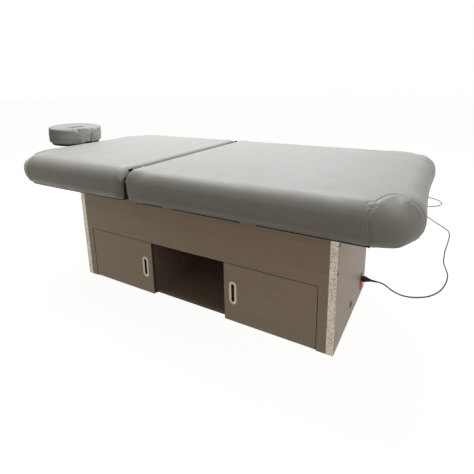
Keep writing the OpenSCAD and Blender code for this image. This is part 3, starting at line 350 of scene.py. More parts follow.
# The finish and the edge rounding, in millimetres, of each kind of solid.
FINISHES = {"oak_laminate": (OAK_FRONT_LIGHTER_FOR_SHADE, 0.8), "dark_laminate": (DARK, 0.6),
            "plywood": (PLYWOOD, 0.8), "edge_strip": (STRIP, 0.3), "steel": (STEEL, 0.5),
            "black_steel": (BLACK_STEEL, 0.6), "black_plastic": (BLACK_PLASTIC, 0.7),
            "pull_finish": (PULL, 0.6), "rubber": (RUBBER, 0.4), "red_lens": (RED_LENS, 0.6),
            "leatherette": (LEATHERETTE, 0.0), "cradle_cover": (COVER, 0.0)}
SPECIAL = {"head_end_panel": OAK_END_DARKER_FOR_LIGHT, "foot_end_panel": OAK_END_DARKER_FOR_LIGHT, "cable_grommet": BROWN_PLASTIC,
           "mains_inlet": BROWN_PLASTIC}
REPLACED_SOFT = ("body_cushion", "backrest_cushion", "cradle_cushion", "mains_cord")
SAME_POINT = 0.00002
SHARP_ANGLE = 50


def dress_frame():
    """Every CAD solid gets its finish, and a small rounding of its sharp edges."""
    for name, obj in NODES.items():
        mat, rounding = FINISHES[obj.data.materials[0].name.split(".")[0]]
        for slot in obj.material_slots:
            slot.material = SPECIAL.get(name, mat)
        if name in REPLACED_SOFT:
            continue
        weld = obj.modifiers.new("join_faces", "WELD")
        weld.merge_threshold = SAME_POINT
        edge = obj.modifiers.new("soft_edges", "BEVEL")
        edge.width = rounding * MM
        edge.segments = 2
        edge.limit_method = "ANGLE"
        edge.angle_limit = math.radians(SHARP_ANGLE)
        edge.harden_normals = False


# ---------------------------------------------------------------- making pieces

def piece(name, bm, body, mat, smooth=True):
    """A finished piece from a bmesh, riding on a body."""
    bmesh.ops.remove_doubles(bm, verts=bm.verts, dist=1e-6)
    bmesh.ops.recalc_face_normals(bm, faces=bm.faces)
    mesh = bpy.data.meshes.new(name)
    bm.to_mesh(mesh)
    bm.free()
    obj = bpy.data.objects.new(name, mesh)
    scene.collection.objects.link(obj)
    mesh.materials.append(mat)
    for face in mesh.polygons:
        face.use_smooth = smooth
    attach(obj, body)
    return obj


def block(bm, low, high, rounding=0.0, segments=3):
    """A block between two corners in metres, its edges rounded by so many millimetres."""
    low, high = Vector(low), Vector(high)
    made = bmesh.ops.create_cube(bm, size=1.0)["verts"]
    bmesh.ops.scale(bm, vec=high - low, verts=made)
    bmesh.ops.translate(bm, vec=(low + high) / 2, verts=made)
    if rounding:
        edges = list({e for v in made for e in v.link_edges})
        bmesh.ops.bevel(bm, geom=edges, offset=rounding * MM, segments=segments, affect="EDGES",
                        profile=0.5, material=-1)


def turned(bm, outline, centre, axis, segments):
    """A body of revolution: an outline in millimetres, along the axis and out from it."""
    axis = Vector(axis)
    side = UP if abs(axis.z) < 0.9 else Vector((1, 0, 0))
    verts = [bm.verts.new(centre + axis * (s * MM) + side * (r * MM)) for s, r in outline]
    edges = [bm.edges.new(pair) for pair in zip(verts, verts[1:])]
    bmesh.ops.spin(bm, geom=verts + edges, cent=centre, axis=axis, angle=math.tau,
                   steps=segments, use_merge=True, use_duplicate=False)


def evaluated(obj):
    return obj.evaluated_get(bpy.context.evaluated_depsgraph_get())


def mesh_in_bmesh(mesh):
    bm = bmesh.new()
    bm.from_mesh(mesh)
    return bm


def put_back(bm, mesh):
    bm.to_mesh(mesh)
    bm.free()


# ---------------------------------------------------------------- mains lead

INLET_AXIS = (205, 92)  # y and z of the inlet's middle
PLUG_AXIS = (2210, 12)
LEAD_RADIUS = 3.5
LEAD_LIE, LOWEST = 3.8, 3.7  # height of the lead's middle on the floor, and the least one
LEAD_IN = (746, 770)  # the lead's first points, inside the connector's bend relief
LEAD_OUT = 778  # its last point, inside the plug's neck

# Route of the lead: down from the inlet, then along the floor.
LEAD_DOWN = [
    (795.4, 205, 92), (809.4, 205, 92), (832, 223, 75.8), (866, 246, 41.8), (904, 270, 15.8),
    (946, 290, 4.8)]
LEAD_ON_FLOOR = [
    (990, 312), (1035, 351), (1077, 427), (1103, 530), (1110, 631), (1098, 716), (1088, 796),
    (1090, 890), (1095, 986), (1104, 1080), (1112, 1173), (1118, 1270), (1108, 1354), (1075, 1424),
    (1026, 1500), (975, 1590), (930, 1680), (905, 1770), (915, 1850), (962, 1908), (1020, 1950),
    (1052, 2020), (1046, 2100), (1000, 2166), (930, 2202)]
LEAD_TO_PLUG = [(860, 2210, 6.8), (811, 2210, 12), (790, 2210, 12)]
LEAD_STEPS = 5


def lead_line():
    """The lead's middle line: one smooth curve through the points of its route."""
    way = LEAD_DOWN + [(x, y, LEAD_LIE) for x, y in LEAD_ON_FLOOR] + LEAD_TO_PLUG
    line = [at(x, *INLET_AXIS) for x in LEAD_IN]
    for ends in stretches([Vector(p) for p in way]):
        for k in range(LEAD_STEPS):
            p = between(*ends, k / LEAD_STEPS)
            line.append(at(p.x, p.y, max(p.z, LOWEST)))
    return line + [at(*way[-1]), at(LEAD_OUT, *PLUG_AXIS)]


def strand(name, line, radius, rounds):
    """A round strand along a line, as a curve object."""
    data = bpy.data.curves.new(name, "CURVE")
    data.dimensions = "3D"
    data.bevel_depth = radius * MM
    data.bevel_resolution = rounds
    data.use_fill_caps = True
    spline = data.splines.new("POLY")
    spline.points.add(len(line) - 1)
    for point, place in zip(spline.points, line):
        point.co = (*place, 1)
    obj = bpy.data.objects.new(name, data)
    scene.collection.objects.link(obj)
    return obj


def mains_lead():
    line = lead_line()
    lead = strand("mains_lead", line, LEAD_RADIUS, rounds=5)
    lead.data.materials.append(RUBBER)
    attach(lead, "cabinet")
    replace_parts(lead, "mains_cord")
    length = sum((b - a).length for a, b in zip(line, line[1:]))
    return lead, length, line[0]


def bar(bm, axis, ends, half_width, half_height, rounding, segments=3):
    """A rounded block round the lead's axis, from one x to another."""
    y, z = axis
    block(bm, at(ends[0], y - half_width, z - half_height),
          at(ends[1], y + half_width, z + half_height), rounding, segments)


def bend_relief(start, count, radius, fall):
    """Outline of a ribbed sleeve, whose ribs grow thinner along it."""
    pitch, rib, groove = 4.1, 2.6, 1.0
    outline = []
    for k in range(count):
        s, r = start + pitch * k, radius - fall * k
        outline += [(s + 0.4, r), (s + rib, r - 0.1), (s + 3.0, r - groove), (s + 4.0, r - groove)]
    return outline


def lead_connector():
    """Appliance connector: nose, grip with finger flats, taper and a ribbed bend relief."""
    bm = bmesh.new()
    bar(bm, INLET_AXIS, (708.4, 724), 12, 8.2, 1.2)
    bar(bm, INLET_AXIS, (723.4, 748), 15, 11.5, 5.2, 5)
    bar(bm, INLET_AXIS, (728, 744), 15.4, 6, 0.9)
    outline = [(0.0, 0.0), (0.0, 11.2), (4.0, 11.2), (10.0, 9.7), (16.0, 7.6), (21.0, 6.3)] \
        + bend_relief(21.0, 6, 6.2, 0.30) + [(46.0, 4.5), (47.6, 4.4), (48.0, 3.4), (48.0, 0.0)]
    turned(bm, outline, at(747.4, *INLET_AXIS), (1, 0, 0), 36)
    obj = piece("lead_connector", bm, "cabinet", BLACK_PLASTIC, smooth=False)
    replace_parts(obj, "cord_connector")
    return obj


def lead_plug():
    """Two-pin plug that lies on its side: body with a waist, ribbed neck and round pins."""
    bm = bmesh.new()
    bar(bm, PLUG_AXIS, (724, 768), 16.7, 11.6, 6.0, 5)
    bar(bm, PLUG_AXIS, (735, 757), 17.4, 8, 1.2)
    outline = [(0.0, 0.0), (0.0, 6.0)] + bend_relief(0.0, 5, 6.0, 0.34) \
        + [(21.6, 4.3), (22.0, 3.4), (22.0, 0.0)]
    turned(bm, outline, at(768, *PLUG_AXIS), (1, 0, 0), 32)
    body = piece("lead_plug", bm, "cabinet", BLACK_PLASTIC, smooth=False)
    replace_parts(body, "mains_plug")
    pin = [(0, 0), (0, 1.2), (0.5, 1.9), (1.4, 2.35), (9, 2.35), (9.2, 2.2), (20, 2.2), (20, 0)]
    half_gap = 9.5
    y, z = PLUG_AXIS
    bm = bmesh.new()
    for side in (-half_gap, half_gap):
        turned(bm, pin, at(705, y + side, z), (1, 0, 0), 20)
    return body, piece("lead_plug_pins", bm, "cabinet", STEEL)


LEAD, LEAD_LENGTH, LEAD_EXIT = mains_lead()
CONNECTOR = lead_connector()
PLUG, PLUG_PINS = lead_plug()

dress_frame()


# ---------------------------------------------------------------- small fittings

SLOT_RADIUS, SLOT_HALF, SLOT_DEPTH, SLOT_BACK = 7.5, 36.0, 11.5, 12.4
SHADE_CUP_WALL = 0.4


def slot_shade_cup(name, node, body):
    """Dark cup in the finger slot of a pull, with round ends and an open front: painted shade in the
    slot's depth.
    """
    low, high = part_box(node)
    bm = bmesh.new()
    bmesh.ops.create_circle(bm, cap_ends=True, segments=40, radius=SLOT_RADIUS * MM,
                            matrix=Matrix.Rotation(math.pi / 2, 4, "X"))
    for v in bm.verts:
        v.co.z += math.copysign(SLOT_HALF, v.co.z) * MM
    grown = bmesh.ops.extrude_face_region(bm, geom=bm.faces[:])["geom"]
    front = [g for g in grown if isinstance(g, bmesh.types.BMFace)]
    bmesh.ops.translate(bm, vec=(0, -SLOT_DEPTH * MM, 0),
                        verts=list({v for f in front for v in f.verts}))
    bmesh.ops.delete(bm, geom=front, context="FACES_ONLY")
    bmesh.ops.recalc_face_normals(bm, faces=bm.faces)
    bmesh.ops.solidify(bm, geom=bm.faces[:], thickness=SHADE_CUP_WALL * MM)
    middle = Vector(((low[0] + high[0]) / 2, low[1] + SLOT_BACK * MM, (low[2] + high[2]) / 2))
    bmesh.ops.translate(bm, vec=middle, verts=bm.verts)
    piece(name, bm, body, PULL_SLOT_SHADE, smooth=False)


DARK_SHEET, THIN_DARK_SHEET = 0.5, 0.4  # how far the dark sheets stand out from their boards
DARK_SHEET_INSET, DARK_SHEET_SHORT, DARK_SHEET_TOP_SHORT = 0.6, 1, 4
HINGE_GAP = 2.6  # from the door's hinged edge to the dark sheet on its stile, painted shade in the gap
# the olive sheet on the shelf's front is painted shade
SHELF_SHEET, SHELF_SHEET_SHORT, SHELF_SHEET_INSET = 0.6, 0.5, 0.2


def plate(bm, low, high, grow):
    """A thin block between two corners, each moved by its millimetres."""
    block(bm, Vector(low) + Vector(grow[0]) * MM, Vector(high) + Vector(grow[1]) * MM)


def shade_sheets_at_doors_and_shelf():
    """Dark sheets on the doors' and stiles' edges, painted shade in the gaps by the stiles and over
    the doors' tops, the same dark on the doors' free edges; and an olive sheet on the open shelf's
    front, painted shade.
    """
    for name, side in (("head_door", -1), ("foot_door", 1)):
        low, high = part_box(name)
        free, hinged = (low[0], high[0]) if side > 0 else (high[0], low[0])
        bm = bmesh.new()
        plate(bm, (free, low[1], low[2]), (free, high[1], high[2]),
              ((-side * DARK_SHEET, DARK_SHEET_INSET, DARK_SHEET_SHORT), (0, -DARK_SHEET_INSET, -DARK_SHEET_SHORT)))
        plate(bm, (low[0], low[1], high[2]), high,
              ((DARK_SHEET_TOP_SHORT, DARK_SHEET_INSET, 0), (-DARK_SHEET_TOP_SHORT, -DARK_SHEET_INSET, THIN_DARK_SHEET)))
        back = DARK_SHEET_INSET + 3
        plate(bm, (hinged, low[1], low[2]), (hinged, high[1], high[2]),
              ((0, back, DARK_SHEET_SHORT), (side * THIN_DARK_SHEET, -back, -DARK_SHEET_SHORT)))
        piece(name + "_edge_tape", bm, name + "_leaf", DARK_EDGE_AND_GAP_SHADE, smooth=False)
        bm = bmesh.new()
        plate(bm, (hinged, low[1], low[2]), (hinged, high[1], high[2]),
              ((side * HINGE_GAP, DARK_SHEET_INSET, -2 * DARK_SHEET_SHORT),
               (side * (HINGE_GAP + THIN_DARK_SHEET), -DARK_SHEET_INSET, 2 * DARK_SHEET_SHORT)))
        piece(name + "_stile_gap_shade", bm, "cabinet", DARK_EDGE_AND_GAP_SHADE, smooth=False)
    # the shelf's front gets a dark sheet: painted shade
    low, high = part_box("shelf_board")
    bm = bmesh.new()
    plate(bm, low, (high[0], low[1], high[2]),
          ((SHELF_SHEET_SHORT, -SHELF_SHEET, SHELF_SHEET_INSET), (-SHELF_SHEET_SHORT, 0, -SHELF_SHEET_INSET)))
    piece("shelf_front_shade_sheet", bm, "cabinet", SHELF_FRONT_SHADE, smooth=False)


CABINET_HALF = 720
SCREW_ROWS = (-294, 297)
SCREW_HEIGHTS = (358, 473.24)
CAP_OUTLINE = [(0.0, 0.0), (0.0, 6.0), (0.9, 5.9), (1.8, 5.0), (2.6, 3.2), (3.0, 0.0)]


def screw_caps():
    """Domed dark caps on the end panels' screw heads."""
    bm = bmesh.new()
    for end in (-1, 1):
        for y in SCREW_ROWS:
            for z in SCREW_HEIGHTS:
                turned(bm, CAP_OUTLINE, at(end * CABINET_HALF, y, z), (end, 0, 0), 20)
    piece("screw_caps", bm, "cabinet", BLACK_PLASTIC)


def rocker_lens():
    """The lit red lens of the mains switch: a rounded cap that stands proud and tips with it."""
    tilt = math.radians(-6)
    bm = bmesh.new()
    block(bm, at(719.5, 194, 45.5), at(733, 216, 70.5), 3.5, 4)
    bmesh.ops.rotate(bm, cent=at(723, 205, 58), matrix=Matrix.Rotation(tilt, 3, "Y"), verts=bm.verts)
    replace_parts(piece("rocker_lens", bm, "power_switch", RED_LENS), "switch_rocker")


# dark cups in the pulls' slots: painted shade
slot_shade_cup("head_pull_liner", "head_door_pull", "head_door_leaf")
slot_shade_cup("foot_pull_liner", "foot_door_pull", "foot_door_leaf")
# dark sheets in the door gaps and on the shelf's front: painted shade
shade_sheets_at_doors_and_shelf()
screw_caps()
rocker_lens()


# ---------------------------------------------------------------- padded sections

def copy_of(node):
    """The node's surface with its loose triangles joined."""
    bm = mesh_in_bmesh(NODES[node].data)
    bmesh.ops.remove_doubles(bm, verts=bm.verts, dist=SAME_POINT)
    return bm


POCKET_REACH, POCKET_RISE = 0.02, 0.01


def close_pocket(bm, deck):
    """The pocket round the deck is closed, so that the pad can be blown up as one skin."""
    low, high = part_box(deck)
    for v in bm.verts:
        inside = low[0] - POCKET_REACH < v.co.x < high[0] + POCKET_REACH \
            and abs(v.co.y) < high[1] + POCKET_REACH
        if inside and low[2] + POCKET_RISE < v.co.z < high[2] + POCKET_RISE:
            v.co.z = low[2]
    bmesh.ops.remove_doubles(bm, verts=bm.verts, dist=0.0008)
    bmesh.ops.dissolve_degenerate(bm, edges=bm.edges, dist=1e-5)


def modified(obj, kind, **settings):
    """The object's mesh after one modifier, as a new mesh in the object."""
    mod = obj.modifiers.new("once", kind)
    for key, value in settings.items():
        setattr(mod, key, value)
    mesh = bpy.data.meshes.new_from_object(evaluated(obj))
    obj.modifiers.remove(mod)
    obj.data = mesh


CLOTH_FRAMES, CLOTH_PRESSURE = 20, 4.0
HELD_HEIGHT = 0.006


def blown(obj, floor, cap):
    """The skin is blown up as cloth round its stuffing; no point moves further than the cap.

    Points within a held height of the floor stay where they are.
    """
    mesh = obj.data
    start = [v.co.copy() for v in mesh.vertices]
    held = obj.vertex_groups.new(name="held")
    held.add([v.index for v in mesh.vertices if v.co.z < floor + HELD_HEIGHT], 1.0, "REPLACE")
    cloth = obj.modifiers.new("skin", "CLOTH")
    s = cloth.settings
    s.quality = 5
    s.mass = 0.35
    s.tension_stiffness = s.compression_stiffness = 25
    s.shear_stiffness = 12
    s.bending_stiffness = 4
    s.use_pressure = True
    s.uniform_pressure_force = CLOTH_PRESSURE
    s.vertex_group_mass = "held"
    s.effector_weights.gravity = 0
    cloth.collision_settings.use_self_collision = False
    for step in range(1, CLOTH_FRAMES + 1):
        scene.frame_set(step)
    places = [v.co.copy() for v in evaluated(obj).data.vertices]
    obj.modifiers.remove(cloth)
    scene.frame_set(1)
    for v, was, now in zip(mesh.vertices, start, places):
        move = now - was
        if move.length > cap * MM:
            move = move.normalized() * cap * MM
        v.co = was + move


def fitted(obj, node):
    """The skin is brought back to the size that its section is cut to."""
    for axis, (low, high) in enumerate(zip(*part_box(node))):
        values = [v.co[axis] for v in obj.data.vertices]
        small, grow = min(values), (high - low) / (max(values) - min(values))
        for v in obj.data.vertices:
            v.co[axis] = low + (v.co[axis] - small) * grow


def eased(bm, rounds):
    for _ in range(rounds):
        bmesh.ops.smooth_vert(bm, verts=bm.verts, factor=0.5, use_axis_x=True, use_axis_y=True,
                              use_axis_z=True)


TOP_HALF = 0.510  # half the top's width, in metres like the values below
FLAT_NEAR, FLAT_FAR = 0.035, 0.09  # from the split: fully on the board, and not at all
EDGE_FROM, EDGE_REACH, EDGE_SHY = 0.425, 0.075, 0.004
MIDDLE_HEIGHT = 0.641
LOWER_SHARE, UPPER_SHARE = 0.45, 0.35  # how far the two halves of an edge grow outwards
LEAN, LEAN_TOP, LEAN_DROP, LEAN_REACH = 0.009, 0.705, 0.11, 0.05


def squared(obj, board, split_x):
    """Towards the split the skin lies flat on its board, and its long edges grow square.

    The lower part of the fixed section's end leans towards the head.
    """
    backrest_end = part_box("backrest_cushion")[1][0] + MM
    for v in obj.data.vertices:
        off = abs(v.co.x - split_x)
        pull = (FLAT_FAR - off) / (FLAT_FAR - FLAT_NEAR)
        if pull <= 0:
            continue
        v.co = v.co.lerp(board.find_nearest(v.co)[0], smooth_step(min(pull, 1.0)))
        if abs(v.co.y) > EDGE_FROM:
            along = max(0.0, 1 - abs(v.co.x - split_x) / EDGE_REACH)
            out = (abs(v.co.y) - EDGE_FROM) / (TOP_HALF - EDGE_FROM)
            share = LOWER_SHARE if v.co.z < MIDDLE_HEIGHT else UPPER_SHARE
            room = TOP_HALF - EDGE_SHY - abs(v.co.y)
            grown = abs(v.co.y) + room * share * min(1.0, out * 3) * along
            v.co.y = math.copysign(max(grown, abs(v.co.y)), v.co.y)
        if split_x > backrest_end:
            low = clamped((LEAN_TOP - v.co.z) / LEAN_DROP)
            v.co.x -= LEAN * low * max(0.0, 1 - abs(v.co.x - split_x) / LEAN_REACH)


ROLL_REACH = 0.06
CROWN_FROM = 0.64  # only points above this height belong to the upper edge
ROLL_FROM, ROLL_SPAN = 0.40, 0.08  # where the roll changes from its middle to its end radius
CORNER_GROWTH, CORNER_TOP, CORNER_DROP = 0.7, 0.70, 0.12


def rolled(obj, board, split_x, way, middle_roll, end_roll, upright):
    """The upper edge and the upright corners at the split get a roll.

    The edge's radius goes from one value in the middle to another at the ends, and the
    corners' radius grows downwards.
    """
    inner_x = split_x - way * ROLL_REACH
    for v in obj.data.vertices:
        back = way * (split_x - v.co.x)
        if back > ROLL_REACH:
            continue
        side = math.copysign(1.0, v.co.y)
        radius = middle_roll + (end_roll - middle_roll) \
            * clamped((abs(v.co.y) - ROLL_FROM) / ROLL_SPAN)
        corner = upright * (1 + CORNER_GROWTH * clamped((CORNER_TOP - v.co.z) / CORNER_DROP))
        wall = board.ray_cast(Vector((inner_x, side, v.co.z)), Vector((0, -side, 0)))[0]
        inner = abs(wall.y) - abs(v.co.y) if wall else corner
        if back < corner and inner < corner:
            a, b = corner - back, corner - inner
            k = corner / math.hypot(a, b)
            v.co.x = split_x - way * (corner - a * k)
            v.co.y = side * (abs(wall.y) - corner + b * k)
            back = way * (split_x - v.co.x)
        crown = board.ray_cast(Vector((inner_x, v.co.y * 0.985, 1.0)), -UP)[0]
        down = crown.z - v.co.z if crown and v.co.z > CROWN_FROM else radius
        if back < radius and down < radius:
            a, b = radius - back, radius - down
            k = radius / math.hypot(a, b)
            v.co.x = split_x - way * (radius - a * k)
            v.co.z = crown.z - radius + b * k


def on_skin(tree, points, step=0.0015):
    """A sewing line: a smooth curve through the points, laid on the skin."""
    line = []
    for ends in stretches([Vector(p) for p in points]):
        count = max(2, int((ends[2] - ends[1]).length / step))
        line += [tree.find_nearest(between(*ends, k / count))[0] for k in range(count)]
    return line


def refined(bm, finder, reach):
    """Finer quads within reach of the sewing lines."""
    edges = [e for e in bm.edges
             if min(finder.find(v.co)[2] for v in e.verts) < reach]
    bmesh.ops.subdivide_edges(bm, edges=edges, cuts=1, use_grid_fill=True)


# The sewn corner piece at the near foot corner: up the side, over the top in an arc and down the
# end, in millimetres in from the end, in from the side, and up from the floor.
CORNER_SEAM = [(152, 42, 567), (149, 12, 592), (148, 3, 618), (147, 1, 644), (148, 4, 668),
               (148, 10, 684), (147, 22, 701), (146, 33, 709), (138, 46, 715), (132, 67, 719),
               (124, 90, 719), (108, 125, 719), (88, 139, 719), (67, 132, 719), (47, 119, 713),
               (29, 117, 700), (13, 117, 680), (7, 123, 663), (4, 127, 652), (5, 129, 632),
               (9, 130, 610), (24, 130, 582), (44, 130, 568)]
KNOT = 7  # the point where the side seam meets the arc
STITCH_ROWS = (10, 20)
REFINED_TO = (0.026, 0.020, 0.014)
SEAM_REACH = 0.11
ROW_DEPTH, ROW_WIDTH = 1.0, 1.6
SEAM_DEPTH, SEAM_INNER_WIDTH, SEAM_OUTER_WIDTH, SEAM_FROM_KNOT = 2.2, 5.0, 2.0, 18
SWELL, SWELL_WIDTH = 1.2, 30.0
DROP, DROP_WIDTH, DROP_FROM, DROP_SPAN = 9.0, 62.0, 0.645, 0.05
PUCKER, PUCKER_PITCH, PUCKER_NEAR, PUCKER_FAR = 0.55, 11.0, 2.0, 26.0
KNOT_REACH, KNOT_RISE, KNOT_WIDTH, RING_DEPTH, RING_AT, RING_WIDTH = 26, 1.6, 5.0, 1.0, 13.0, 3.2


def seam_push(v, p, line, k, end_x, from_knot, d):
    """How far a seam moves a point out and down: the groove, the filled corner and its puckers."""
    ahead = line[min(k + 1, len(line) - 1)] - line[max(k - 1, 0)]
    corner = Vector((end_x, math.copysign(TOP_HALF, v.co.y), 0.66))
    across = ahead.cross(v.normal)
    inside = across.dot(v.co - p) * across.dot(corner - p) > 0
    push = drop = 0.0
    if from_knot > SEAM_FROM_KNOT:
        push -= SEAM_DEPTH * bell(d, SEAM_INNER_WIDTH if inside else SEAM_OUTER_WIDTH)
    if inside:
        push += SWELL * math.sin(min(d, SWELL_WIDTH) / SWELL_WIDTH * math.pi) ** 2
        fall = smooth_step(min(d / DROP_WIDTH, 1.0))
        drop = DROP * fall * clamped((v.co.z - DROP_FROM) / DROP_SPAN)
    if inside and PUCKER_NEAR < d < PUCKER_FAR and k > len(line) * 0.3:
        phase = k * 1.5 / PUCKER_PITCH * math.tau + noise.noise(v.co * 40) * 2.0
        fade = math.sin((d - PUCKER_NEAR) / (PUCKER_FAR - PUCKER_NEAR) * math.pi) ** 2
        push += PUCKER * math.sin(phase) * fade
    return push, drop


def corner_seams(obj, end_x, inward, size):
    """Presses the corner pieces' seams, their top stitching and puckers into the skin."""
    bm = mesh_in_bmesh(obj.data)
    tree = BVHTree.FromBMesh(bm)
    seams, rows, knots = [], [], []
    for side in (-1, 1):
        points = [Vector((end_x + inward * a * size * MM, side * (510 - b * size) * MM, c * MM))
                  for a, b, c in CORNER_SEAM]
        seams.append(on_skin(tree, points))
        knots.append(tree.find_nearest(points[KNOT])[0])
        for gap in STITCH_ROWS:
            shift = Vector((inward * gap * MM, 0, 0))
            rows.append(on_skin(tree, [p + shift for p in points[1:KNOT]]))
    lines = seams + rows
    finder = KDTree(sum(len(line) for line in lines))
    where = []
    for number, line in enumerate(lines):
        for k, p in enumerate(line):
            finder.insert(p, len(where))
            where.append((number, k))
    finder.balance()
    for reach in REFINED_TO:
        refined(bm, finder, reach)
    bm.normal_update()
    moves = []
    for v in bm.verts:
        p, index, far = finder.find(v.co)
        if far > SEAM_REACH:
            continue
        number, k = where[index]
        knot = min(knots, key=lambda q: (q - v.co).length)
        from_knot = (v.co - knot).length / MM
        d = far / MM
        if number < len(seams):
            push, drop = seam_push(v, p, lines[number], k, end_x, from_knot, d)
        else:
            push, drop = -ROW_DEPTH * bell(d, ROW_WIDTH), 0.0
        if from_knot < KNOT_REACH:
            push += KNOT_RISE * bell(from_knot, KNOT_WIDTH)
            push -= RING_DEPTH * bell(from_knot - RING_AT, RING_WIDTH)
        moves.append((v, (v.normal * push - UP * drop) * MM))
    for v, move in moves:
        v.co += move
    put_back(bm, obj.data)


def upholstered(obj, node):
    """Smooth faces, one level of finer skin, and the CAD node that it replaces hidden."""
    for face in obj.data.polygons:
        face.use_smooth = True
    level = obj.modifiers.new("fine_skin", "SUBSURF")
    level.levels = level.render_levels = 1
    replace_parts(obj, node)


SKIN_VOXEL, COVER_VOXEL = 0.011, 0.0042
SKIN_CAP, COVER_CAP = 6.0, 5.0  # how far the cloth may move, in millimetres
OFF_DECK = 0.6


def padded_section(name, node, deck, body, inward, size):
    """One section of the top; inward is the way along x from its outer end to the split."""
    end_x, split_x = (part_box(node)[i][0] for i in ((1, 0) if inward < 0 else (0, 1)))
    bm = copy_of(node)
    close_pocket(bm, deck)
    board = BVHTree.FromBMesh(bm)
    obj = piece(name, bm, body, LEATHERETTE)
    modified(obj, "REMESH", mode="VOXEL", voxel_size=SKIN_VOXEL, use_smooth_shade=True)
    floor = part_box(deck)[0][2]
    blown(obj, floor, SKIN_CAP)
    bm = mesh_in_bmesh(obj.data)
    eased(bm, 3)
    put_back(bm, obj.data)
    fitted(obj, node)
    squared(obj, board, split_x)
    if inward > 0:
        rolled(obj, board, split_x, 1, middle_roll=0.022, end_roll=0.050, upright=0.036)
    else:
        rolled(obj, board, split_x, -1, middle_roll=0.042, end_roll=0.026, upright=0.0)
    for v in obj.data.vertices:
        v.co.z = max(v.co.z, floor + OFF_DECK * MM)
    corner_seams(obj, end_x, inward, size)
    upholstered(obj, node)
    return obj


SHADOW_CORD_PLACE = (-474, 565)  # y and z of the dark cord's line, a painted shadow under the near lower edge, before it is laid on the skin
SHADOW_CORD_SHIFT = Vector((0, -0.4, -0.9))
SHADOW_CORD_RADIUS, SHADOW_CORD_KNOT = 2.3, 3.8
SHADOW_CORD_STEP = 60


def edge_shadow_cord(name, pad, body, spans):
    """A thin dark cord under the near lower edge, a painted shadow line, laid on in lengths with a
    knot at each end.
    """
    bm = mesh_in_bmesh(pad.data)
    tree = BVHTree.FromBMesh(bm)
    bm.free()
    bm = bmesh.new()
    for start, end in spans:
        count = max(2, int((end - start) / SHADOW_CORD_STEP))
        way = [at(start + (end - start) * k / count, *SHADOW_CORD_PLACE) for k in range(count + 1)]
        line = [p + SHADOW_CORD_SHIFT * MM for p in on_skin(tree, way, 0.012)]
        cord = strand(name + "_line", line, SHADOW_CORD_RADIUS, rounds=2)
        bm.from_mesh(bpy.data.meshes.new_from_object(evaluated(cord)))
        bpy.data.objects.remove(cord)
        for p in (line[0], line[-1]):
            bmesh.ops.create_uvsphere(bm, u_segments=12, v_segments=8, radius=SHADOW_CORD_KNOT * MM,
                                      matrix=Matrix.Translation(p))
    piece(name, bm, body, BLACK_PLASTIC)


# the black sheet in the split is painted shade
SHADE_SHEET_HALF, SHADE_SHEET_LOW, SHADE_SHEET_HIGH, SHADE_SHEET_SPREAD = 486, 579, 676, 0.27
PIN_ENDS = ((-464, -446), (446, 464))
PIN_RADIUS, PIN_OUT, PIN_HEIGHT = 6.8, 11, 706


def split_shade_sheet():
    """Painted shade in the split: a black sheet on the backrest's end, and the black outer ends of the
    hinge pins, partly real pin ends and partly painted shade at the gap's near end.
    """
    bm = bmesh.new()
    end = (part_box("backrest_cushion")[1][0] - MID_X) / MM
    block(bm, at(end - 1, -SHADE_SHEET_HALF, SHADE_SHEET_LOW), at(end + 0.8, SHADE_SHEET_HALF, SHADE_SHEET_HIGH), 0.4)
    for v in bm.verts:
        v.co.y *= 1 + SHADE_SHEET_SPREAD * (SHADE_SHEET_HIGH * MM - v.co.z)
    for start, stop in PIN_ENDS:
        length = stop - start
        turned(bm, [(0.0, 0.0), (0.0, PIN_RADIUS), (length, PIN_RADIUS), (length, 0.0)],
               at(end + PIN_OUT, start, PIN_HEIGHT), (0, 1, 0), 16)
    piece("split_painted_shade_sheet", bm, "backrest", SPLIT_SHADE_BLACK)


# ---------------------------------------------------------------- the cradle's cover

# Blocks by which the fitted cover bridges the upper chin gap and narrows the face hole: two
# corners and a rounding, in millimetres.
COVER_BLOCKS = [
    ((-1040, -64, 716), (-984, 13, 808), 9),
    ((-1040, -4, 768), (-986, 50, 806), 7),
    ((-1084, -96, 778), (-1008, 96, 808), 4),
    ((-1170, -96, 778), (-1136, 96, 813), 4),
    ((-1150, -96, 778), (-1060, -54, 812), 4),
    ((-1150, 54, 778), (-1060, 96, 812), 4)]

# Folds of the cover: height, half width and the way, in millimetres.
COVER_FOLDS = [
    (5.5, 3.4, [(-1008, -62, 806), (-996, -42, 803), (-988, -16, 801), (-986, 14, 796)]),
    (-4.5, 4.5, [(-1020, -56, 806), (-1008, -34, 802), (-1000, -8, 800), (-996, 18, 798)]),
    (2.0, 5.0, [(-1022, -128, 796), (-1012, -115, 787), (-1002, -96, 773), (-993, -75, 758)]),
    (-2.2, 5.0, [(-1012, -132, 796), (-1003, -116, 782), (-995, -100, 765), (-988, -84, 750)]),
    (1.8, 4.0, [(-995, -70, 800), (-986, -62, 788), (-983, -52, 770), (-983, -46, 750)]),
    (-1.8, 4.5, [(-992, -56, 798), (-984, -46, 784), (-983, -36, 766), (-983, -30, 745)]),
    (1.8, 5.0, [(-1132, -173, 782), (-1116, -173, 768), (-1098, -172, 755), (-1082, -170, 742)]),
    (-1.8, 5.0, [(-1140, -173, 770), (-1124, -173, 756), (-1106, -172, 743)]),
    (1.6, 6.0, [(-1200, -110, 800), (-1192, -120, 775), (-1186, -124, 745)]),
    (1.5, 5.0, [(-1000, 60, 800), (-988, 66, 782), (-984, 74, 760)]),
    (-1.6, 5.0, [(-996, 88, 800), (-987, 92, 780), (-986, 98, 755)]),
    (1.6, 6.0, [(-1120, 172, 780), (-1100, 173, 762), (-1080, 171, 748)])]
FOLD_STEP, FOLD_REACH, FOLD_SHARE, FOLD_ENDS, LEAST_SHARE = 0.002, 0.014, 0.14, 0.6, 0.01
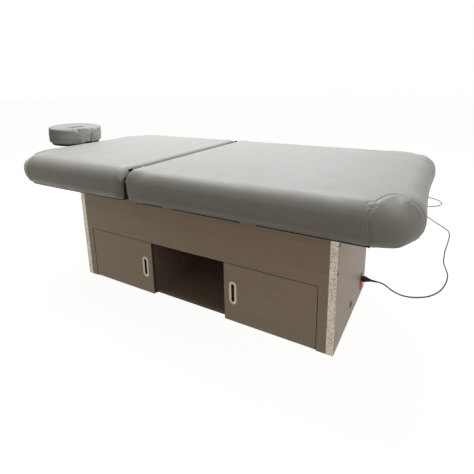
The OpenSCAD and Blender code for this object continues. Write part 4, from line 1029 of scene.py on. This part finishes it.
UPPER_EDGE, LOWER_EDGE = 6.0, 4.0  # how far the cover's outer edges are pulled square
DENTS = ((0.7, 55.0), (0.35, 130.0))  # height and fineness of the small creases


def cover_folds(tree):
    """Points along the folds, each with its height and half width, in a tree for finding them."""
    spots = []
    for height, half, way in COVER_FOLDS:
        line = on_skin(tree, [at(*p) for p in way], FOLD_STEP)
        spots += [(p, height * math.sin((k + 0.5) / len(line) * math.pi) ** FOLD_ENDS, half)
                  for k, p in enumerate(line)]
    finder = KDTree(len(spots))
    for i, (p, _, _) in enumerate(spots):
        finder.insert(p, i)
    finder.balance()
    return spots, finder


def cover_shaped(obj):
    """The cover's outer edges are pulled square, and it gets its folds and small creases."""
    low, high = (Vector(p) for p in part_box("cradle_cushion"))
    middle = (low + high) / 2
    bm = mesh_in_bmesh(obj.data)
    eased(bm, 2)
    bm.normal_update()
    spots, finder = cover_folds(BVHTree.FromBMesh(bm))
    moves = []
    for v in bm.verts:
        n = v.normal
        out = Vector((v.co.x - middle.x, v.co.y - middle.y, 0))
        push = 0.0
        if out.length > 1e-6 and n.dot(out) > 0:
            edge = 2 * abs(n.z) * math.hypot(n.x, n.y)
            push += (UPPER_EDGE if n.z > 0 else LOWER_EDGE) * edge ** 1.5
        for _, i, far in finder.find_range(v.co, FOLD_REACH):
            share = spots[i][1] * bell(far / MM, spots[i][2])
            if abs(share) > LEAST_SHARE:
                push += share * FOLD_SHARE
        push += sum(height * noise.noise(v.co * fineness) for height, fineness in DENTS)
        moves.append((v, n * push * MM))
    for v, move in moves:
        v.co += move
    put_back(bm, obj.data)
    fitted(obj, "cradle_cushion")


def cradle_pad():
    """The face cradle's cushion in its fitted cover."""
    nothing_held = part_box("cradle_cushion")[0][2] - 1
    bm = copy_of("cradle_cushion")
    for low, high, rounding in COVER_BLOCKS:
        block(bm, at(*low), at(*high), rounding)
    obj = piece("cradle_pad", bm, "cradle_head", COVER)
    modified(obj, "REMESH", mode="VOXEL", voxel_size=COVER_VOXEL, use_smooth_shade=True)
    blown(obj, nothing_held, COVER_CAP)
    cover_shaped(obj)
    upholstered(obj, "cradle_cushion")


BODY_PAD = padded_section("body_pad", "body_cushion", "fixed_deck", "cabinet", -1, 1.0)
BACKREST_PAD = padded_section("backrest_pad", "backrest_cushion", "backrest_deck", "backrest",
                              1, 1.31)
# dark cords under the near lower edges: painted shadow lines
edge_shadow_cord("body_welt", BODY_PAD, "cabinet", ((-112, 31), (85, 402), (468, 857)))
edge_shadow_cord("backrest_shadow_cord", BACKREST_PAD, "backrest", ((-860, -176),))
# black sheet in the split: painted shade
split_shade_sheet()
cradle_pad()


# ---------------------------------------------------------------- floor and light

FLOOR_SIZE = 40
FLOOR_SEEN, FLOOR_GLOW = (0.20, 0.20, 0.20, 1), 0.94
FLOOR_BOUNCE = (0.20, 0.17, 0.125, 1)
ROOM_TINT, ROOM_LIGHT = (1.0, 0.90, 0.73, 1), 0.235
WHITE = (1, 1, 1, 1)

# Lamps: name, size, power, place, the point they face, and colour.
LAMPS = [("ceiling_panel", (3.2, 2.5), 93, (-0.55, 0.98, 2.75), (-0.1, 0.25, 0.7),
          (0.945, 0.985, 1.0)),
         ("foot_panel", (2.4, 1.8), 8.6, (3.3, -0.3, 1.4), (0.8, 0.0, 0.5), (1.0, 0.985, 0.96))]


def light_path(mat):
    """One where a camera, glossy or transmission ray looks, nought for other rays."""
    path = add(mat, "LightPath")
    first = add(mat, "Math", operation="MAXIMUM")
    both = add(mat, "Math", operation="MAXIMUM")
    wire(mat, path.outputs["Is Camera Ray"], first.inputs[0])
    wire(mat, path.outputs["Is Glossy Ray"], first.inputs[1])
    wire(mat, first.outputs[0], both.inputs[0])
    wire(mat, path.outputs["Is Transmission Ray"], both.inputs[1])
    return both.outputs[0]


def two_ways(mat, lighting, seen, end):
    """Lighting rays meet one shader, and rays that look meet another."""
    mix = add(mat, "MixShader")
    wire(mat, light_path(mat), mix.inputs[0])
    wire(mat, lighting, mix.inputs[1])
    wire(mat, seen, mix.inputs[2])
    wire(mat, mix.outputs[0], add(mat, end).inputs["Surface"])


def studio_floor():
    """A pale floor that keeps the object's shadow."""
    bm = bmesh.new()
    bmesh.ops.create_grid(bm, x_segments=2, y_segments=2, size=FLOOR_SIZE)
    mesh = bpy.data.meshes.new("studio_floor")
    put_back(bm, mesh)
    floor = bpy.data.objects.new("studio_floor", mesh)
    scene.collection.objects.link(floor)
    mat = bpy.data.materials.new("studio_floor_paint")
    mat.use_nodes = True
    mat.node_tree.nodes.clear()
    seen = add(mat, "BsdfDiffuse", Color=FLOOR_SEEN)
    glow = add(mat, "Emission", Color=WHITE, Strength=FLOOR_GLOW)
    both = add(mat, "AddShader")
    wire(mat, seen.outputs[0], both.inputs[0])
    wire(mat, glow.outputs[0], both.inputs[1])
    bounce = add(mat, "BsdfDiffuse", Color=FLOOR_BOUNCE)
    two_ways(mat, bounce.outputs[0], both.outputs[0], "OutputMaterial")
    mesh.materials.append(mat)


def studio_room():
    """White walls to the eye, which light the object with a dim warm glow."""
    world = bpy.data.worlds.new("studio_walls")
    scene.world = world
    world.use_nodes = True
    world.node_tree.nodes.clear()
    dim = add(world, "Background", Color=ROOM_TINT, Strength=ROOM_LIGHT)
    white = add(world, "Background", Color=WHITE, Strength=1.0)
    two_ways(world, dim.outputs[0], white.outputs[0], "OutputWorld")


def lamp(name, size, power, place, aim, colour):
    data = bpy.data.lights.new(name, "AREA")
    data.shape = "RECTANGLE"
    data.size, data.size_y = size
    data.energy = power
    data.color = colour
    obj = bpy.data.objects.new(name, data)
    obj.location = place
    obj.rotation_euler = (Vector(aim) - Vector(place)).to_track_quat("-Z", "Y").to_euler()
    scene.collection.objects.link(obj)


studio_floor()
studio_room()
for settings in LAMPS:
    lamp(*settings)
scene.view_settings.view_transform = "Standard"
